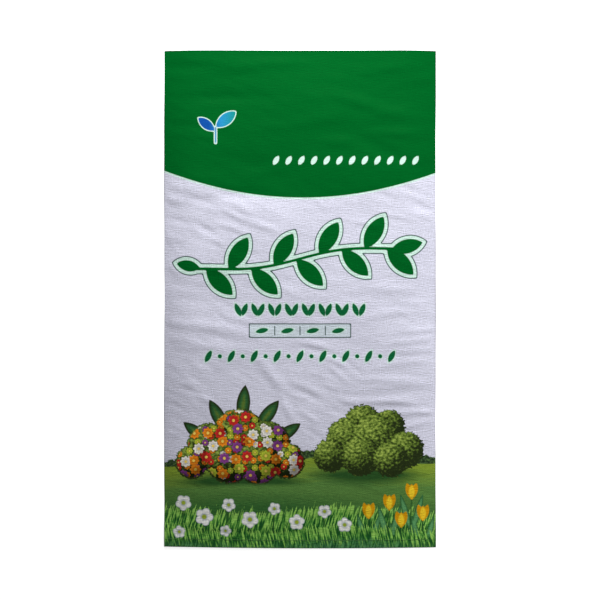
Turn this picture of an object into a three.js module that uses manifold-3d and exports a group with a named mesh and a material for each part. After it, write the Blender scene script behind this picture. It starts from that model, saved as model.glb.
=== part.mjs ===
// Woven polypropylene sack, empty, pressed flat and lying on its back panel.
// Millimetres, +Z up. The origin is on the floor under the middle of the sack and +Y points to the mouth.

import * as THREE from "three";
import { ParametricGeometry } from "three/addons/geometries/ParametricGeometry.js";
import { mergeGeometries, mergeVertices } from "three/addons/utils/BufferGeometryUtils.js";
import Module from "manifold-3d";

// Cloth
const BAG_WIDTH = 500; // across the pressed hem
const BAG_LENGTH = 915; // bottom fold to mouth
const FABRIC = 0.3; // woven tapes with their print film
const LAYER_GAP = 0.25; // air between two pressed layers

// How the empty sack lies
const BODY_GAP = 9.5; // air between the panels in the middle
const MOUTH_GAP = 8.5; // the same at the mouth
const MOUTH_SETTLE = 130; // length over which the front panel sinks towards the mouth
const SIDE_ROLL = 64; // side fold to full height
const HEM_ROLL = 90; // hem to full height
const SIDE_DRAW = 0.5; // each side fold pulls in where the sack is full
const BOTTOM_BOW = 2; // the bottom corners sit this much higher than its middle

// Soft swells of the front panel: height, length of one wave, heading of the wave in degrees, start
const SWELLS = [
  { height: 1.2, length: 236, heading: 52, start: 0.4 },
  { height: 1, length: 163, heading: 118, start: 2.1 },
  { height: 0.7, length: 121, heading: 71, start: 1.2 },
];

// Print fields, measured along the cloth
const HEAD_MIDDLE = 268; // depth of the green head in the middle
const HEAD_SAG = 48; // its lower edge is this much higher at the sides
const MEADOW_TOP = 180; // height of the green foot above the bottom fold

// Turned hem and its chain stitch
const HEM_DEPTH = 25; // bottom fold to the cut edge of the turned end
const HEM_RISE = 34; // length over which the back panel climbs onto the turned end
const HEM_MARGIN = 3; // the climb ends this far before the cut edge
const SEAM_LINE = 15; // bottom fold to the seam
const STITCH_LENGTH = 14;
const SEAM_MARGIN = 6; // least distance from a side fold to a needle hole
const SEAM_TAIL = 4; // loose thread past the first and last hole
const THREAD = 0.7;
const THREAD_CLEARANCE = 0.2; // between two strands, and between a strand and the cloth
const FLOOR_CLEARANCE = 0.1; // under the lowest strand

// Facets
const FRONT_COLUMNS = 24;
const BACK_COLUMNS = 4;
const FOLD_STEPS = 3;
const HEAD_ROWS = 8;
const GROUND_ROWS = 13;
const MEADOW_ROWS = 4;
const ROLL_ROWS = 8;
const TURN_STEPS = 4;
const BIGHT_STEPS = 3;
const THREAD_SIDES = 4;

// Colours
const CLOTH_COLOUR = 0xdadae8;
const HEAD_COLOUR = 0x016b2a;
const MEADOW_COLOUR = 0x55803a;
const THREAD_COLOUR = 0x35602f;

// Levels that follow from the sizes above
const LAYER_PITCH = FABRIC + LAYER_GAP;
const TURN_RADIUS = LAYER_PITCH / 2;
const STRAND_PITCH = THREAD + THREAD_CLEARANCE;
const HEM_UNDERSIDE = FLOOR_CLEARANCE + 2 * STRAND_PITCH;
const HEM_TOP = HEM_UNDERSIDE + 4 * FABRIC + 3 * LAYER_GAP;
const BOTTOM_Y = -BAG_LENGTH / 2;
const MOUTH_Y = BAG_LENGTH / 2;
const TURN_Y = BOTTOM_Y + TURN_RADIUS + LAYER_PITCH + FABRIC / 2;
const TURN_Z = HEM_UNDERSIDE + 1.5 * FABRIC + LAYER_GAP + TURN_RADIUS;
const HEM_END_Y = BOTTOM_Y + HEM_DEPTH;
const CLIMB_END_Y = HEM_END_Y + HEM_MARGIN;
const HEAD_EDGE_Y = MOUTH_Y - HEAD_MIDDLE;
const MEADOW_EDGE_Y = BOTTOM_Y + MEADOW_TOP;

const smooth = THREE.MathUtils.smoothstep;
const lerp = THREE.MathUtils.lerp;

/** Share of the full height that the panel has reached at a distance from a fold: steep there, then level. */
function roll(distance, reach) {
  const left = 1 - THREE.MathUtils.clamp(distance / reach, 0, 1);
  return 1 - left * left;
}

/** How far a line across the sack lifts towards the mouth at x, for a given lift at the sides. */
function bow(x, lift) {
  return lift * (x / (BAG_WIDTH / 2)) ** 2;
}

/** Air between the panels along the middle of the sack. */
function fullness(y) {
  const settled = lerp(BODY_GAP, MOUTH_GAP, smooth(y, MOUTH_Y - MOUTH_SETTLE, MOUTH_Y));
  return settled * roll(y - CLIMB_END_Y, HEM_ROLL);
}

/** Soft swells of the front panel at a point. */
function swell(x, y) {
  return SWELLS.reduce((sum, wave) => {
    const heading = THREE.MathUtils.degToRad(wave.heading);
    const along = x * Math.cos(heading) + y * Math.sin(heading);
    return sum + wave.height * Math.sin((2 * Math.PI * along) / wave.length + wave.start);
  }, 0);
}

/** Evenly spaced values from first to last, both included. */
function spread(first, last, steps) {
  return Array.from({ length: steps + 1 }, (_, i) => lerp(first, last, i / steps));
}

/** How much a row of the body bows, so that one row lies along the lower edge of the head field. */
function rowBow(y) {
  if (y > HEAD_EDGE_Y) {
    return (HEAD_SAG * (MOUTH_Y - y)) / HEAD_MIDDLE;
  }
  return lerp(BOTTOM_BOW, HEAD_SAG, smooth(y, MEADOW_EDGE_Y, HEAD_EDGE_Y));
}

/** A row of the flat tube: middle of the back layer, lean of the layers, and air inside. */
function bodyRow(y) {
  const climb = smooth(y, CLIMB_END_Y, CLIMB_END_Y + HEM_RISE);
  const z = lerp(TURN_Z + TURN_RADIUS, FABRIC / 2, climb);
  return { y, z, radius: 0, lean: 0, lift: rowBow(y), air: fullness(y) };
}

/** A row of the turned hem, which leans from upright to upside down round the bottom fold. */
function hemRow(y, lean) {
  return { y, z: TURN_Z, radius: TURN_RADIUS, lean, lift: BOTTOM_BOW, air: 0 };
}

// Rows from the mouth down the body, round the bottom fold and back to the cut edge of the turned end
const rollStart = CLIMB_END_Y + HEM_ROLL;
const rows = [
  ...spread(MOUTH_Y, HEAD_EDGE_Y, HEAD_ROWS).map(bodyRow),
  ...spread(HEAD_EDGE_Y, MEADOW_EDGE_Y, GROUND_ROWS).slice(1).map(bodyRow),
  ...spread(MEADOW_EDGE_Y, rollStart, MEADOW_ROWS).slice(1).map(bodyRow),
  ...spread(rollStart, CLIMB_END_Y, ROLL_ROWS).slice(1).map(bodyRow),
  ...spread(0, Math.PI, TURN_STEPS).map((lean) => hemRow(TURN_Y, lean)),
  hemRow(HEM_END_Y, Math.PI),
];

/** Point of the cloth's section in one row: place across the sack and height over the back layer. */
function sectionPoint(step, skin, row) {
  const half = BAG_WIDTH / 2 - SIDE_DRAW * (row.air / BODY_GAP);
  const foldCentre = half - TURN_RADIUS - FABRIC / 2;
  const offset = (skin * FABRIC) / 2;
  const foldPoint = (share, side) => {
    const angle = Math.PI * (0.5 - share);
    const radius = TURN_RADIUS + offset;
    return { x: side * (foldCentre + radius * Math.cos(angle)), h: TURN_RADIUS + radius * Math.sin(angle) };
  };
  if (step <= FRONT_COLUMNS) {
    const x = foldCentre * Math.sin(Math.PI * (step / FRONT_COLUMNS - 0.5));
    const share = roll(foldCentre - Math.abs(x), SIDE_ROLL);
    const lifted = row.air * share * (1 + swell(x, row.y) / BODY_GAP);
    return { x, h: LAYER_PITCH + lifted + offset };
  }
  const pastFront = step - FRONT_COLUMNS;
  if (pastFront < FOLD_STEPS) {
    return foldPoint(pastFront / FOLD_STEPS, 1);
  }
  const pastFold = pastFront - FOLD_STEPS;
  if (pastFold <= BACK_COLUMNS) {
    return { x: foldCentre * (1 - (2 * pastFold) / BACK_COLUMNS), h: -offset };
  }
  return foldPoint(1 - (pastFold - BACK_COLUMNS) / FOLD_STEPS, -1);
}

/** The cloth as a closed skin: out along the rows on the outside and back along them on the inside. */
function clothSkin() {
  const around = FRONT_COLUMNS + BACK_COLUMNS + 2 * FOLD_STEPS;
  const along = 2 * rows.length;
  const place = (u, v, target) => {
    const step = Math.round((1 - u) * around) % around;
    const line = Math.round(v * along) % along;
    const outside = line < rows.length;
    const row = rows[outside ? line : along - 1 - line];
    const point = sectionPoint(step, outside ? 1 : -1, row);
    const reach = row.radius + point.h;
    const y = row.y - reach * Math.sin(row.lean) + bow(point.x, row.lift);
    target.set(point.x, y, row.z + reach * Math.cos(row.lean));
  };
  return new ParametricGeometry(place, around, along);
}

/** Where the seam lies at x. */
function seamY(x) {
  return BOTTOM_Y + SEAM_LINE + bow(x, BOTTOM_BOW);
}

const stitchCount = Math.floor((BAG_WIDTH - 2 * SEAM_MARGIN) / STITCH_LENGTH);
const holes = spread((-stitchCount * STITCH_LENGTH) / 2, (stitchCount * STITCH_LENGTH) / 2, stitchCount);

/** Cutters for the needle holes, each wide enough for the strand that goes down and the one that comes up. */
function needleCutters() {
  const width = THREAD + 2 * THREAD_CLEARANCE;
  const depth = HEM_TOP - HEM_UNDERSIDE + 2 * FABRIC;
  return holes.map((x) => {
    const cutter = new THREE.BoxGeometry(width, width + STRAND_PITCH, depth);
    return cutter.translate(x, seamY(x), (HEM_TOP + HEM_UNDERSIDE) / 2);
  });
}

/** Points of the thread: one loop of chain stitch per hole, each caught round the next one. */
function threadPoints() {
  const top = HEM_TOP + THREAD_CLEARANCE + THREAD / 2;
  const chain = HEM_UNDERSIDE - THREAD_CLEARANCE - THREAD / 2;
  const under = chain - STRAND_PITCH;
  const beside = STRAND_PITCH / 2;
  const bight = beside + STRAND_PITCH;
  const pass = bight + STRAND_PITCH;
  const climb = pass + 2 * STRAND_PITCH;
  const at = (x, side, z) => new THREE.Vector3(x, seamY(x) + side, z);
  const points = [at(holes[0] - SEAM_TAIL, -beside, top)];
  for (const x of holes.slice(0, -1)) {
    const next = x + STITCH_LENGTH;
    const turn = spread(-Math.PI / 2, Math.PI / 2, BIGHT_STEPS);
    points.push(at(x, -beside, top), at(x, -beside, under), at(x + pass, -beside, under));
    points.push(at(x + climb, -bight, chain));
    points.push(...turn.map((angle) => at(next + bight * Math.cos(angle), bight * Math.sin(angle), chain)));
    points.push(at(x + climb, bight, chain));
    points.push(at(x + pass, beside, under), at(x, beside, under), at(x, beside, top));
  }
  const last = holes[holes.length - 1];
  points.push(at(last, -beside, top), at(last, -beside, under), at(last + SEAM_TAIL, -beside, under));
  return points;
}

/** A path that visits every given point at even steps and leans each section half way round its corner. */
class StrandPath extends THREE.Curve {
  constructor(points) {
    super();
    this.points = points;
  }

  getPoint(t, target = new THREE.Vector3()) {
    const place = t * (this.points.length - 1);
    const index = Math.min(Math.floor(place + 1e-6), this.points.length - 2);
    return target.lerpVectors(this.points[index], this.points[index + 1], place - index);
  }

  getPointAt(t, target) {
    return this.getPoint(t, target);
  }

  getTangentAt(t, target = new THREE.Vector3()) {
    const index = Math.round(t * (this.points.length - 1));
    const here = this.points[index];
    const before = this.points[Math.max(index - 1, 0)];
    const after = this.points[Math.min(index + 1, this.points.length - 1)];
    const arriving = here.clone().sub(before).normalize();
    return target.copy(after).sub(here).normalize().add(arriving).normalize();
  }
}

/** The sewing thread as a closed tube along its points. */
function threadTube() {
  const points = threadPoints();
  const corner = (i) => (2 * Math.PI * i) / THREAD_SIDES;
  const outline = Array.from({ length: THREAD_SIDES }, (_, i) => {
    return new THREE.Vector2(Math.cos(corner(i)), Math.sin(corner(i))).multiplyScalar(THREAD / 2);
  });
  return new THREE.ExtrudeGeometry(new THREE.Shape(outline), {
    steps: points.length - 1,
    extrudePath: new StrandPath(points),
  });
}

const wasm = await Module();
wasm.setup();

/** Solid for joins and cuts from a closed geometry. */
function toSolid(geometry) {
  const bare = new THREE.BufferGeometry();
  bare.setAttribute("position", geometry.getAttribute("position"));
  bare.setIndex(geometry.getIndex());
  const welded = mergeVertices(bare, 1e-3);
  const kept = [];
  const index = welded.getIndex().array;
  for (let i = 0; i < index.length; i += 3) {
    const [a, b, c] = index.slice(i, i + 3);
    if (a !== b && b !== c && c !== a) {
      kept.push(a, b, c);
    }
  }
  const vertProperties = new Float32Array(welded.getAttribute("position").array);
  return new wasm.Manifold(new wasm.Mesh({ numProp: 3, vertProperties, triVerts: new Uint32Array(kept) }));
}

/** Geometry from a solid, with its triangles sorted into groups by a function of middle and facing. */
function toGeometry(solid, groupOf, groupCount) {
  const { vertProperties, triVerts } = solid.getMesh();
  const sorted = Array.from({ length: groupCount }, () => []);
  const triangle = new THREE.Triangle();
  const facing = new THREE.Vector3();
  const middle = new THREE.Vector3();
  for (let i = 0; i < triVerts.length; i += 3) {
    const corners = triVerts.slice(i, i + 3);
    const points = Array.from(corners, (v) => new THREE.Vector3().fromArray(vertProperties, 3 * v));
    triangle.set(...points);
    triangle.getNormal(facing);
    triangle.getMidpoint(middle);
    sorted[groupOf(middle, facing)].push(...corners);
  }
  const geometry = new THREE.BufferGeometry();
  geometry.setAttribute("position", new THREE.BufferAttribute(vertProperties, 3));
  geometry.setIndex(sorted.flat());
  let start = 0;
  sorted.forEach((list, group) => {
    geometry.addGroup(start, list.length, group);
    start += list.length;
  });
  geometry.computeVertexNormals();
  return geometry;
}

/** Print field of a triangle of the cloth: 0 bare cloth, 1 green head, 2 green foot. */
function printField(middle, facing) {
  const backSkin = facing.z < 0 && middle.z < FABRIC / 2;
  const frontSkin = facing.z > 0 && middle.z > 1.5 * FABRIC + LAYER_GAP;
  if (!backSkin && !frontSkin) {
    return 0;
  }
  if (middle.y > HEAD_EDGE_Y + bow(middle.x, HEAD_SAG)) {
    return 1;
  }
  return middle.y < MEADOW_EDGE_Y + bow(middle.x, BOTTOM_BOW) ? 2 : 0;
}

const group = new THREE.Group();

// Bag body: cloth with its needle holes
const cutters = mergeGeometries(needleCutters());
const cloth = toSolid(clothSkin()).subtract(toSolid(cutters));
const clothFinish = [CLOTH_COLOUR, HEAD_COLOUR, MEADOW_COLOUR].map((color) => {
  return new THREE.MeshStandardMaterial({ color, roughness: 0.5, metalness: 0 });
});
const bagBody = new THREE.Mesh(toGeometry(cloth, printField, clothFinish.length), clothFinish);
bagBody.name = "bag_body";
group.add(bagBody);

// Bottom stitching: one thread
const threadFinish = new THREE.MeshStandardMaterial({ color: THREAD_COLOUR, roughness: 0.8, metalness: 0 });
const stitching = new THREE.Mesh(threadTube(), threadFinish);
stitching.name = "bottom_stitching";
group.add(stitching);

export default group;
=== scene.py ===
"""Empty woven polypropylene sack, lying flat: cloth, print, seam thread, floor, lamps and camera.

Metres, +Z up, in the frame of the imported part. The back panel lies on the floor and +Y points to the mouth.
Creases, printed shapes and layers of ink are in millimetres, from the middle of the front panel.
"""

import logging
import math
from collections.abc import Sequence
from dataclasses import dataclass, replace
from enum import Enum
from typing import Any

import bpy
import numpy as np
from numpy.typing import NDArray
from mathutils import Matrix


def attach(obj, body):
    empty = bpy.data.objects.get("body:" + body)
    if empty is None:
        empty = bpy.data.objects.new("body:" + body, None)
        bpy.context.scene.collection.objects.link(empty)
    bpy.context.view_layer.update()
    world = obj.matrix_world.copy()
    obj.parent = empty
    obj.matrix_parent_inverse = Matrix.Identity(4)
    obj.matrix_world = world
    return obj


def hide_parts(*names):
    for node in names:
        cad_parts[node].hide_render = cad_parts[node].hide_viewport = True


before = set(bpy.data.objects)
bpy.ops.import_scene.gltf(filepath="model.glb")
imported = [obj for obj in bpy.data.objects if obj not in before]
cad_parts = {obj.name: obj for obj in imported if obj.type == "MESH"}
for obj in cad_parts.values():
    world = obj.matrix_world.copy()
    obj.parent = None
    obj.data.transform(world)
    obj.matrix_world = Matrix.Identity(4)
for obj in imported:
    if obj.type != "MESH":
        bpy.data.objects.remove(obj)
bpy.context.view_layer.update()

Array = NDArray[np.float64]
Numbers = NDArray[np.int64]
Flags = NDArray[np.bool_]
Colour = tuple[float, float, float, float]
Socket = bpy.types.NodeSocket
Tree = bpy.types.NodeTree

LOG = logging.getLogger("sack")
MM = 0.001
WIDTH = 500.0 * MM
OFF_PRINT = 50.0 * MM
# Settings of a node that mixes two colours, its inputs 6 and 7, by its input 0.
BLEND = {"output": 2, "data_type": "RGBA"}
DARKEN = {**BLEND, "blend_type": "MULTIPLY"}


class Field(Enum):
    """What the points of the cloth hold: distances in metres, below zero inside a shape, and lights.

    A light runs from 0 to 1.
    """

    EDGE = "cloth_edge"
    HEAD = "print_head"
    HEAD_MARKS = "print_head_marks"
    SEEDLING = "print_seedling"
    FOOT = "print_foot"
    SPRIG = "print_sprig"
    MARKS = "print_marks"
    STRIP = "print_strip"
    HEDGE = "print_hedge"
    HILL = "print_hill"
    SHADE = "print_shade"
    SHRUB = "print_shrub"
    SHRUB_LIGHT = "print_shrub_light"
    MOUND = "print_mound"
    MOUND_LIGHT = "print_mound_light"
    LEAVES = "print_leaves"
    NEAR_HILL = "print_near_hill"
    GRASS = "print_grass"
    STEMS = "print_stems"
    BLADES = "print_blades"
    CUP_SIDES = "print_cup_sides"
    CUP_FRONTS = "print_cup_fronts"
    PETALS = "print_petals"
    HEARTS = "print_hearts"


class Ink(Enum):
    """Cloth, print and thread colours, sRGB hex."""

    CLOTH = "D8D8E8"
    CLOTH_SHADE = "D3D3E3"
    HEAD = "005C20"
    RIM = "CCE9DD"
    BLUE = "1450A2"
    AZURE = "2C8FC2"
    TEAL = "168E7C"
    OUTLINE = "2F4A45"
    FILL = "CDD8E0"
    MARK = "0F6236"
    FOOT = "3F8A33"
    HEDGE_DARK = "1C2D18"
    HEDGE_MID = "384D30"
    HEDGE_LIGHT = "5A7A3C"
    HILL_LIGHT = "829A33"
    HILL_DARK = "58823F"
    SHADOW = "2C5226"
    LEAF_DARK = "263117"
    LEAF_MID = "5F772E"
    LEAF_LIGHT = "A9BF57"
    NEAR_DARK = "396A33"
    GRASS_DARK = "1E5626"
    GRASS_MID = "52943C"
    GRASS_LIGHT = "98D060"
    ROOT_DARK = "1C4A34"
    ROOT_LIGHT = "5C9A5C"
    STEM = "2C5A2A"
    BLADE = "5F9D62"
    BLADE_RIM = "2F6136"
    CUP_SIDE = "D79A12"
    CUP_FRONT = "F4CE2E"
    PETAL_RIM = "B9C2C6"
    PETAL = "F3F3EE"
    HEART = "9DB03A"
    ORANGE = "EE8A22"
    RED = "CC2F2A"
    PURPLE = "8A4590"
    LIME = "B9C63C"
    WHITE = "EDE9E0"
    EYE = "F0D060"
    THREAD = "35602F"
    THREAD_LIGHT = "5E8A4E"

    def colour(self, _tree: Tree) -> Colour:
        """The plain ink, which needs no node of its own."""
        return linear(self.value)


@dataclass(frozen=True)
class Ramp:
    """Inks along a value from 0 to 1, blended or in steps."""

    stops: tuple[tuple[float, Ink], ...]
    stepped: bool = False


@dataclass(frozen=True)
class Fade:
    """A value that runs from start to end while another value runs from low to high."""

    low: float
    high: float
    start: float = 1.0
    end: float = 0.0

    def of(self, value: Socket) -> dict[int | str, Any]:
        """Inputs of the node that gives this fade of a value."""
        return {0: value, 1: self.low, 2: self.high, 3: self.start, 4: self.end}


def linear(hex_colour: str) -> Colour:
    """Turn an sRGB hex value into a linear colour, by the standard curve.

    Args:
        hex_colour: six hex digits.

    Returns:
        Linear red, green and blue, and alpha 1.
    """
    srgb = np.array([int(hex_colour[i : i + 2], 16) / 255 for i in (0, 2, 4)])
    bent = ((srgb + 0.055) / 1.055) ** 2.4
    return (*np.where(srgb <= 0.04045, srgb / 12.92, bent).tolist(), 1.0)


def put(
    tree: Tree,
    kind: str,
    inputs: dict[int | str, Any] | None = None,
    output: int | str = 0,
    ramp: Ramp | None = None,
    **settings: Any,
) -> Socket:
    """Add one node with its settings, and set or link its inputs.

    Args:
        tree: node tree that gets the node.
        kind: node type without its ShaderNode prefix.
        inputs: socket name or number, to a value or to the socket that feeds it.
        output: name or number of the output to hand back.
        ramp: inks of a colour ramp.
        settings: properties of the node.

    Returns:
        The chosen output socket, or the first input of a node that has no output.
    """
    node = tree.nodes.new("ShaderNode" + kind)
    for name, value in settings.items():
        setattr(node, name, value)
    for key, value in (inputs or {}).items():
        if isinstance(value, Socket):
            tree.links.new(value, node.inputs[key])
        else:
            node.inputs[key].default_value = value
    if ramp:
        node.color_ramp.interpolation = "CONSTANT" if ramp.stepped else "LINEAR"
        elements = node.color_ramp.elements
        while len(elements) < len(ramp.stops):
            elements.new(1.0)
        for element, (place, ink) in zip(elements, ramp.stops):
            element.position = place
            element.color = linear(ink.value)
    return node.outputs[output] if len(node.outputs) else node.inputs[0]


def new_material(name: str) -> tuple[bpy.types.Material, Tree]:
    """Make an empty node material.

    Args:
        name: the material's name.

    Returns:
        The material and its node tree.
    """
    material = bpy.data.materials.new(name)
    material.use_nodes = True
    material.node_tree.nodes.clear()
    return material, material.node_tree


def mesh_piece(name: str, points: Array, faces: list[list[int]], sharp_deg: float = 40.0) -> bpy.types.Object:
    """Make a smooth-shaded mesh object at the origin.

    Args:
        name: object name.
        points: corner places, one row each, in metres.
        faces: corner numbers of each face, in order seen from outside.
        sharp_deg: edges that turn by more than this stay sharp.

    Returns:
        The linked object.
    """
    mesh = bpy.data.meshes.new(name)
    mesh.from_pydata(points, [], faces)
    mesh.polygons.foreach_set("use_smooth", np.ones(len(mesh.polygons), dtype=bool))
    mesh.set_sharp_from_angle(angle=math.radians(sharp_deg))
    mesh.update()
    piece = bpy.data.objects.new(name, mesh)
    bpy.context.scene.collection.objects.link(piece)
    return piece


def smoothstep(value: Array, low: float, high: float) -> Array:
    """Rise from 0 at low to 1 at high along 3t squared minus 2t cubed."""
    share = np.clip((value - low) / (high - low), 0.0, 1.0)
    return share * share * (3.0 - 2.0 * share)


def turned(right: Array, up: Array, heading: float) -> tuple[Array, Array]:
    """Parts of an offset along and across a heading in degrees."""
    cos, sin = math.cos(math.radians(heading)), math.sin(math.radians(heading))
    return right * cos + up * sin, up * cos - right * sin


@dataclass(frozen=True)
class Lie:
    """How the crumple lies: crests slope down to the right on the left half and level out on the right."""

    slope: float = 0.12
    bend: float = -0.35

    def at(self, x: Array, y: Array) -> Array:
        """Distance across the crests: y sheared by a parabola in x."""
        return y + x * (self.slope + self.bend * x)


@dataclass(frozen=True)
class Wave:
    """One sine of an edge: height, length for a radian, start in radians, and lead of the right side.

    Height and length are millimetres.
    """

    height: float
    length: float
    start: float = 0.0
    lead: float = 0.0

    def at(self, place: Array, side: Array | float = 0.0) -> Array:
        """Offset in metres: a sine of the place along the edge, ahead or behind by the side's sign."""
        return self.height * MM * np.sin(place / (self.length * MM) + self.start + self.lead * side)


@dataclass(frozen=True)
class Swell:
    """One soft wave of the front panel: height and length in metres, heading in degrees, start in radians."""

    height: float
    length: float
    heading: float
    start: float

    def at(self, x: Array, y: Array) -> Array:
        """Height of the wave: a sine of the distance along its heading."""
        along, _ = turned(x, y, self.heading)
        return self.height * np.sin(2.0 * math.pi * along / self.length + self.start)


@dataclass(frozen=True)
class Ripples:
    """Fine crumple of the cloth: drawn waves whose crests follow its lie, stronger in patches.

    The patches are a wave of strength, so its height is a share.
    """

    count: int = 48
    height: float = 0.06 * MM
    across: tuple[float, float] = (15.0 * MM, 44.0 * MM)
    along: tuple[float, float] = (36.0 * MM, 120.0 * MM)
    patch: Swell = Swell(0.35, 170.0 * MM, 40.0, 0.9)
    lie: Lie = Lie()
    seed: int = 5

    def at(self, x: Array, y: Array) -> Array:
        """Height of the crumple: a sum of cosines of the place across and along the crests.

        Args:
            x: places across the sack.
            y: places along the sack.

        Returns:
            Heights in metres.
        """
        rng = np.random.default_rng(self.seed)
        lie = self.lie.at(x, y)
        total = np.zeros_like(x)
        for _ in range(self.count):
            across = rng.uniform(*self.across)
            along = rng.uniform(*self.along) * rng.choice((-1.0, 1.0))
            total += np.cos(2.0 * math.pi * (lie / across + x / along) + rng.uniform(0.0, 2.0 * math.pi))
        return self.height * math.sqrt(2.0 / self.count) * total * (1.0 + self.patch.at(x, y))


@dataclass(frozen=True)
class Crease:
    """One crease of the cloth: middle, heading in degrees, length, half width, height, and bend per metre."""

    x: float
    y: float
    heading: float
    length: float
    width: float
    height: float
    bend: float = 0.0
    sharp: bool = False

    def at(self, x: Array, y: Array) -> Array:
        """Height of the crease at each point.

        Across the crease, a soft one is a crest with a shallow dip on each side, and a sharp one is a narrow
        crest. Along it, both fade out towards the ends.

        Args:
            x: places across the sack.
            y: places along the sack.

        Returns:
            Heights in metres.
        """
        along, across = turned(x - self.x * MM, y - self.y * MM, self.heading)
        across = across - self.bend * along**2
        fade = np.clip(1.0 - (2.0 * along / (self.length * MM)) ** 2, 0.0, 1.0) ** 2
        share = (across / (self.width * MM)) ** 2
        crest = 1.0 / (1.0 + share) ** 2 if self.sharp else (1.0 - share) * np.exp(-share)
        return self.height * MM * fade * crest


@dataclass(frozen=True)
class CreaseZone:
    """A part of the front panel with creases of one kind: a box, how many, and the ranges to draw from.

    Heading is a mean and a spread in degrees, bend is a spread, and up_share is the share of raised creases.
    """

    low: tuple[float, float]
    high: tuple[float, float]
    count: int
    heading: tuple[float, float]
    length: tuple[float, float]
    width: tuple[float, float]
    height: tuple[float, float]
    sharp: bool = False
    bend: float = 1.2
    up_share: float = 0.5

    def draw(self, rng: np.random.Generator) -> list[Crease]:
        """Draw this zone's creases.

        Args:
            rng: seeded generator, shared by all the zones.

        Returns:
            The creases, evenly spread along the sack and each up or down by chance.
        """
        step = (self.high[1] - self.low[1]) / self.count
        return [
            Crease(
                x=rng.uniform(self.low[0], self.high[0]),
                y=self.low[1] + step * (number + rng.uniform()),
                heading=rng.normal(*self.heading),
                length=rng.uniform(*self.length),
                width=rng.uniform(*self.width),
                height=rng.uniform(*self.height) * (1.0 if rng.uniform() < self.up_share else -1.0),
                bend=rng.normal(0.0, self.bend),
                sharp=self.sharp,
            )
            for number in range(self.count)
        ]


class Shape:
    """A flat printed shape. Its sizes are millimetres from the middle of the front panel."""

    def at(self, x: Array, y: Array) -> Array:
        """Distance in metres, below zero inside."""
        raise NotImplementedError


def join(shapes: Sequence[Shape], x: Array, y: Array) -> Array:
    """Distance to the nearest of several shapes."""
    return np.minimum.reduce([shape.at(x, y) for shape in shapes])


@dataclass(frozen=True)
class Disc(Shape):
    """A disc: middle and radius."""

    x: float
    y: float
    radius: float

    def at(self, x: Array, y: Array) -> Array:
        """Length from the middle less the radius."""
        return np.hypot(x - self.x * MM, y - self.y * MM) - self.radius * MM


@dataclass(frozen=True)
class Leaf(Shape):
    """A pointed leaf: middle, length, width, and heading in degrees."""

    x: float
    y: float
    length: float
    width: float
    heading: float

    def at(self, x: Array, y: Array) -> Array:
        """Overlap of two equal discs that cross at the leaf's tips.

        Args:
            x: places across the sack.
            y: places along the sack.

        Returns:
            Distances in metres.
        """
        along, across = turned(x - self.x * MM, y - self.y * MM, self.heading)
        radius = (self.length**2 + self.width**2) / (4.0 * self.width) * MM
        aside = radius - self.width * MM / 2.0
        return np.hypot(along, np.abs(across) + aside) - radius

    def placed(self, x: float, y: float, side: int = 1) -> "Leaf":
        """The leaf moved by an offset, and mirrored left to right before that if side is -1."""
        heading = self.heading if side > 0 else 180.0 - self.heading
        return replace(self, x=x + side * self.x, y=y + self.y, heading=heading)


@dataclass(frozen=True)
class Stem(Shape):
    """A round-ended bar: its two ends and half its width."""

    x0: float
    y0: float
    x1: float
    y1: float
    half: float

    def at(self, x: Array, y: Array) -> Array:
        """Length from the nearest place on the line between the ends, less half the width.

        Args:
            x: places across the sack.
            y: places along the sack.

        Returns:
            Distances in metres.
        """
        run = np.array([self.x1 - self.x0, self.y1 - self.y0]) * MM
        from_x, from_y = x - self.x0 * MM, y - self.y0 * MM
        share = np.clip((from_x * run[0] + from_y * run[1]) / float(run @ run), 0.0, 1.0)
        return np.hypot(from_x - share * run[0], from_y - share * run[1]) - self.half * MM


@dataclass(frozen=True)
class Panel(Shape):
    """An upright rectangle: middle and half sizes."""

    x: float
    y: float
    half_x: float
    half_y: float

    def at(self, x: Array, y: Array) -> Array:
        """The farther of the distances beyond the half width and the half height."""
        beyond = np.abs(x - self.x * MM) - self.half_x * MM
        return np.maximum(beyond, np.abs(y - self.y * MM) - self.half_y * MM)


@dataclass(frozen=True)
class Petals(Shape):
    """Round petals in a ring: middle, radius over all, how many, and a petal's part of the radius."""

    x: float
    y: float
    radius: float
    count: int = 5
    share: float = 0.43

    def at(self, x: Array, y: Array) -> Array:
        """Joined discs that touch the radius over all. Each ring starts at an angle of its own, by its place.

        Args:
            x: places across the sack.
            y: places along the sack.

        Returns:
            Distances in metres.
        """
        size = self.share * self.radius
        reach = self.radius - size
        angles = self.x + 2.0 * math.pi * np.arange(self.count) / self.count
        middles = zip(self.x + reach * np.cos(angles), self.y + reach * np.sin(angles))
        return join([Disc(*middle, size) for middle in middles], x, y)


def in_row(shape: Disc | Leaf, low: float, high: float, count: int) -> tuple[Shape, ...]:
    """Copies of a shape in a level row, moved by even steps from low to high."""
    return tuple(replace(shape, x=shape.x + place) for place in np.linspace(low, high, count))


@dataclass(frozen=True)
class HeadPrint:
    """Green head with a curved lower edge, a seedling and a row of small leaves."""

    edge: float = 187.3 * MM
    sag: float = 48.0 * MM
    tilt: float = -1.9 * MM
    seedling: tuple[Shape, ...] = (
        Leaf(-136, 331, 50, 24, 38),
        Leaf(-172, 322, 42, 20, 142),
        Stem(-155, 288, -155, 316, 3.2),
    )
    row: tuple[Shape, ...] = in_row(Leaf(0, 255.5, 20, 9.5, 58), -44, 212, 12)

    def head(self, x: Array, y: Array) -> Array:
        """Distance below the head's lower edge: a parabola that lifts towards the sides, a little tilted."""
        aside = x / (WIDTH / 2.0)
        return self.edge + self.sag * aside**2 + self.tilt * aside - y

    def fields(self, x: Array, y: Array) -> dict[Field, Array]:
        """Distances for the seedling and the row of leaves."""
        return {Field.SEEDLING: join(self.seedling, x, y), Field.HEAD_MARKS: join(self.row, x, y)}


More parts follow.
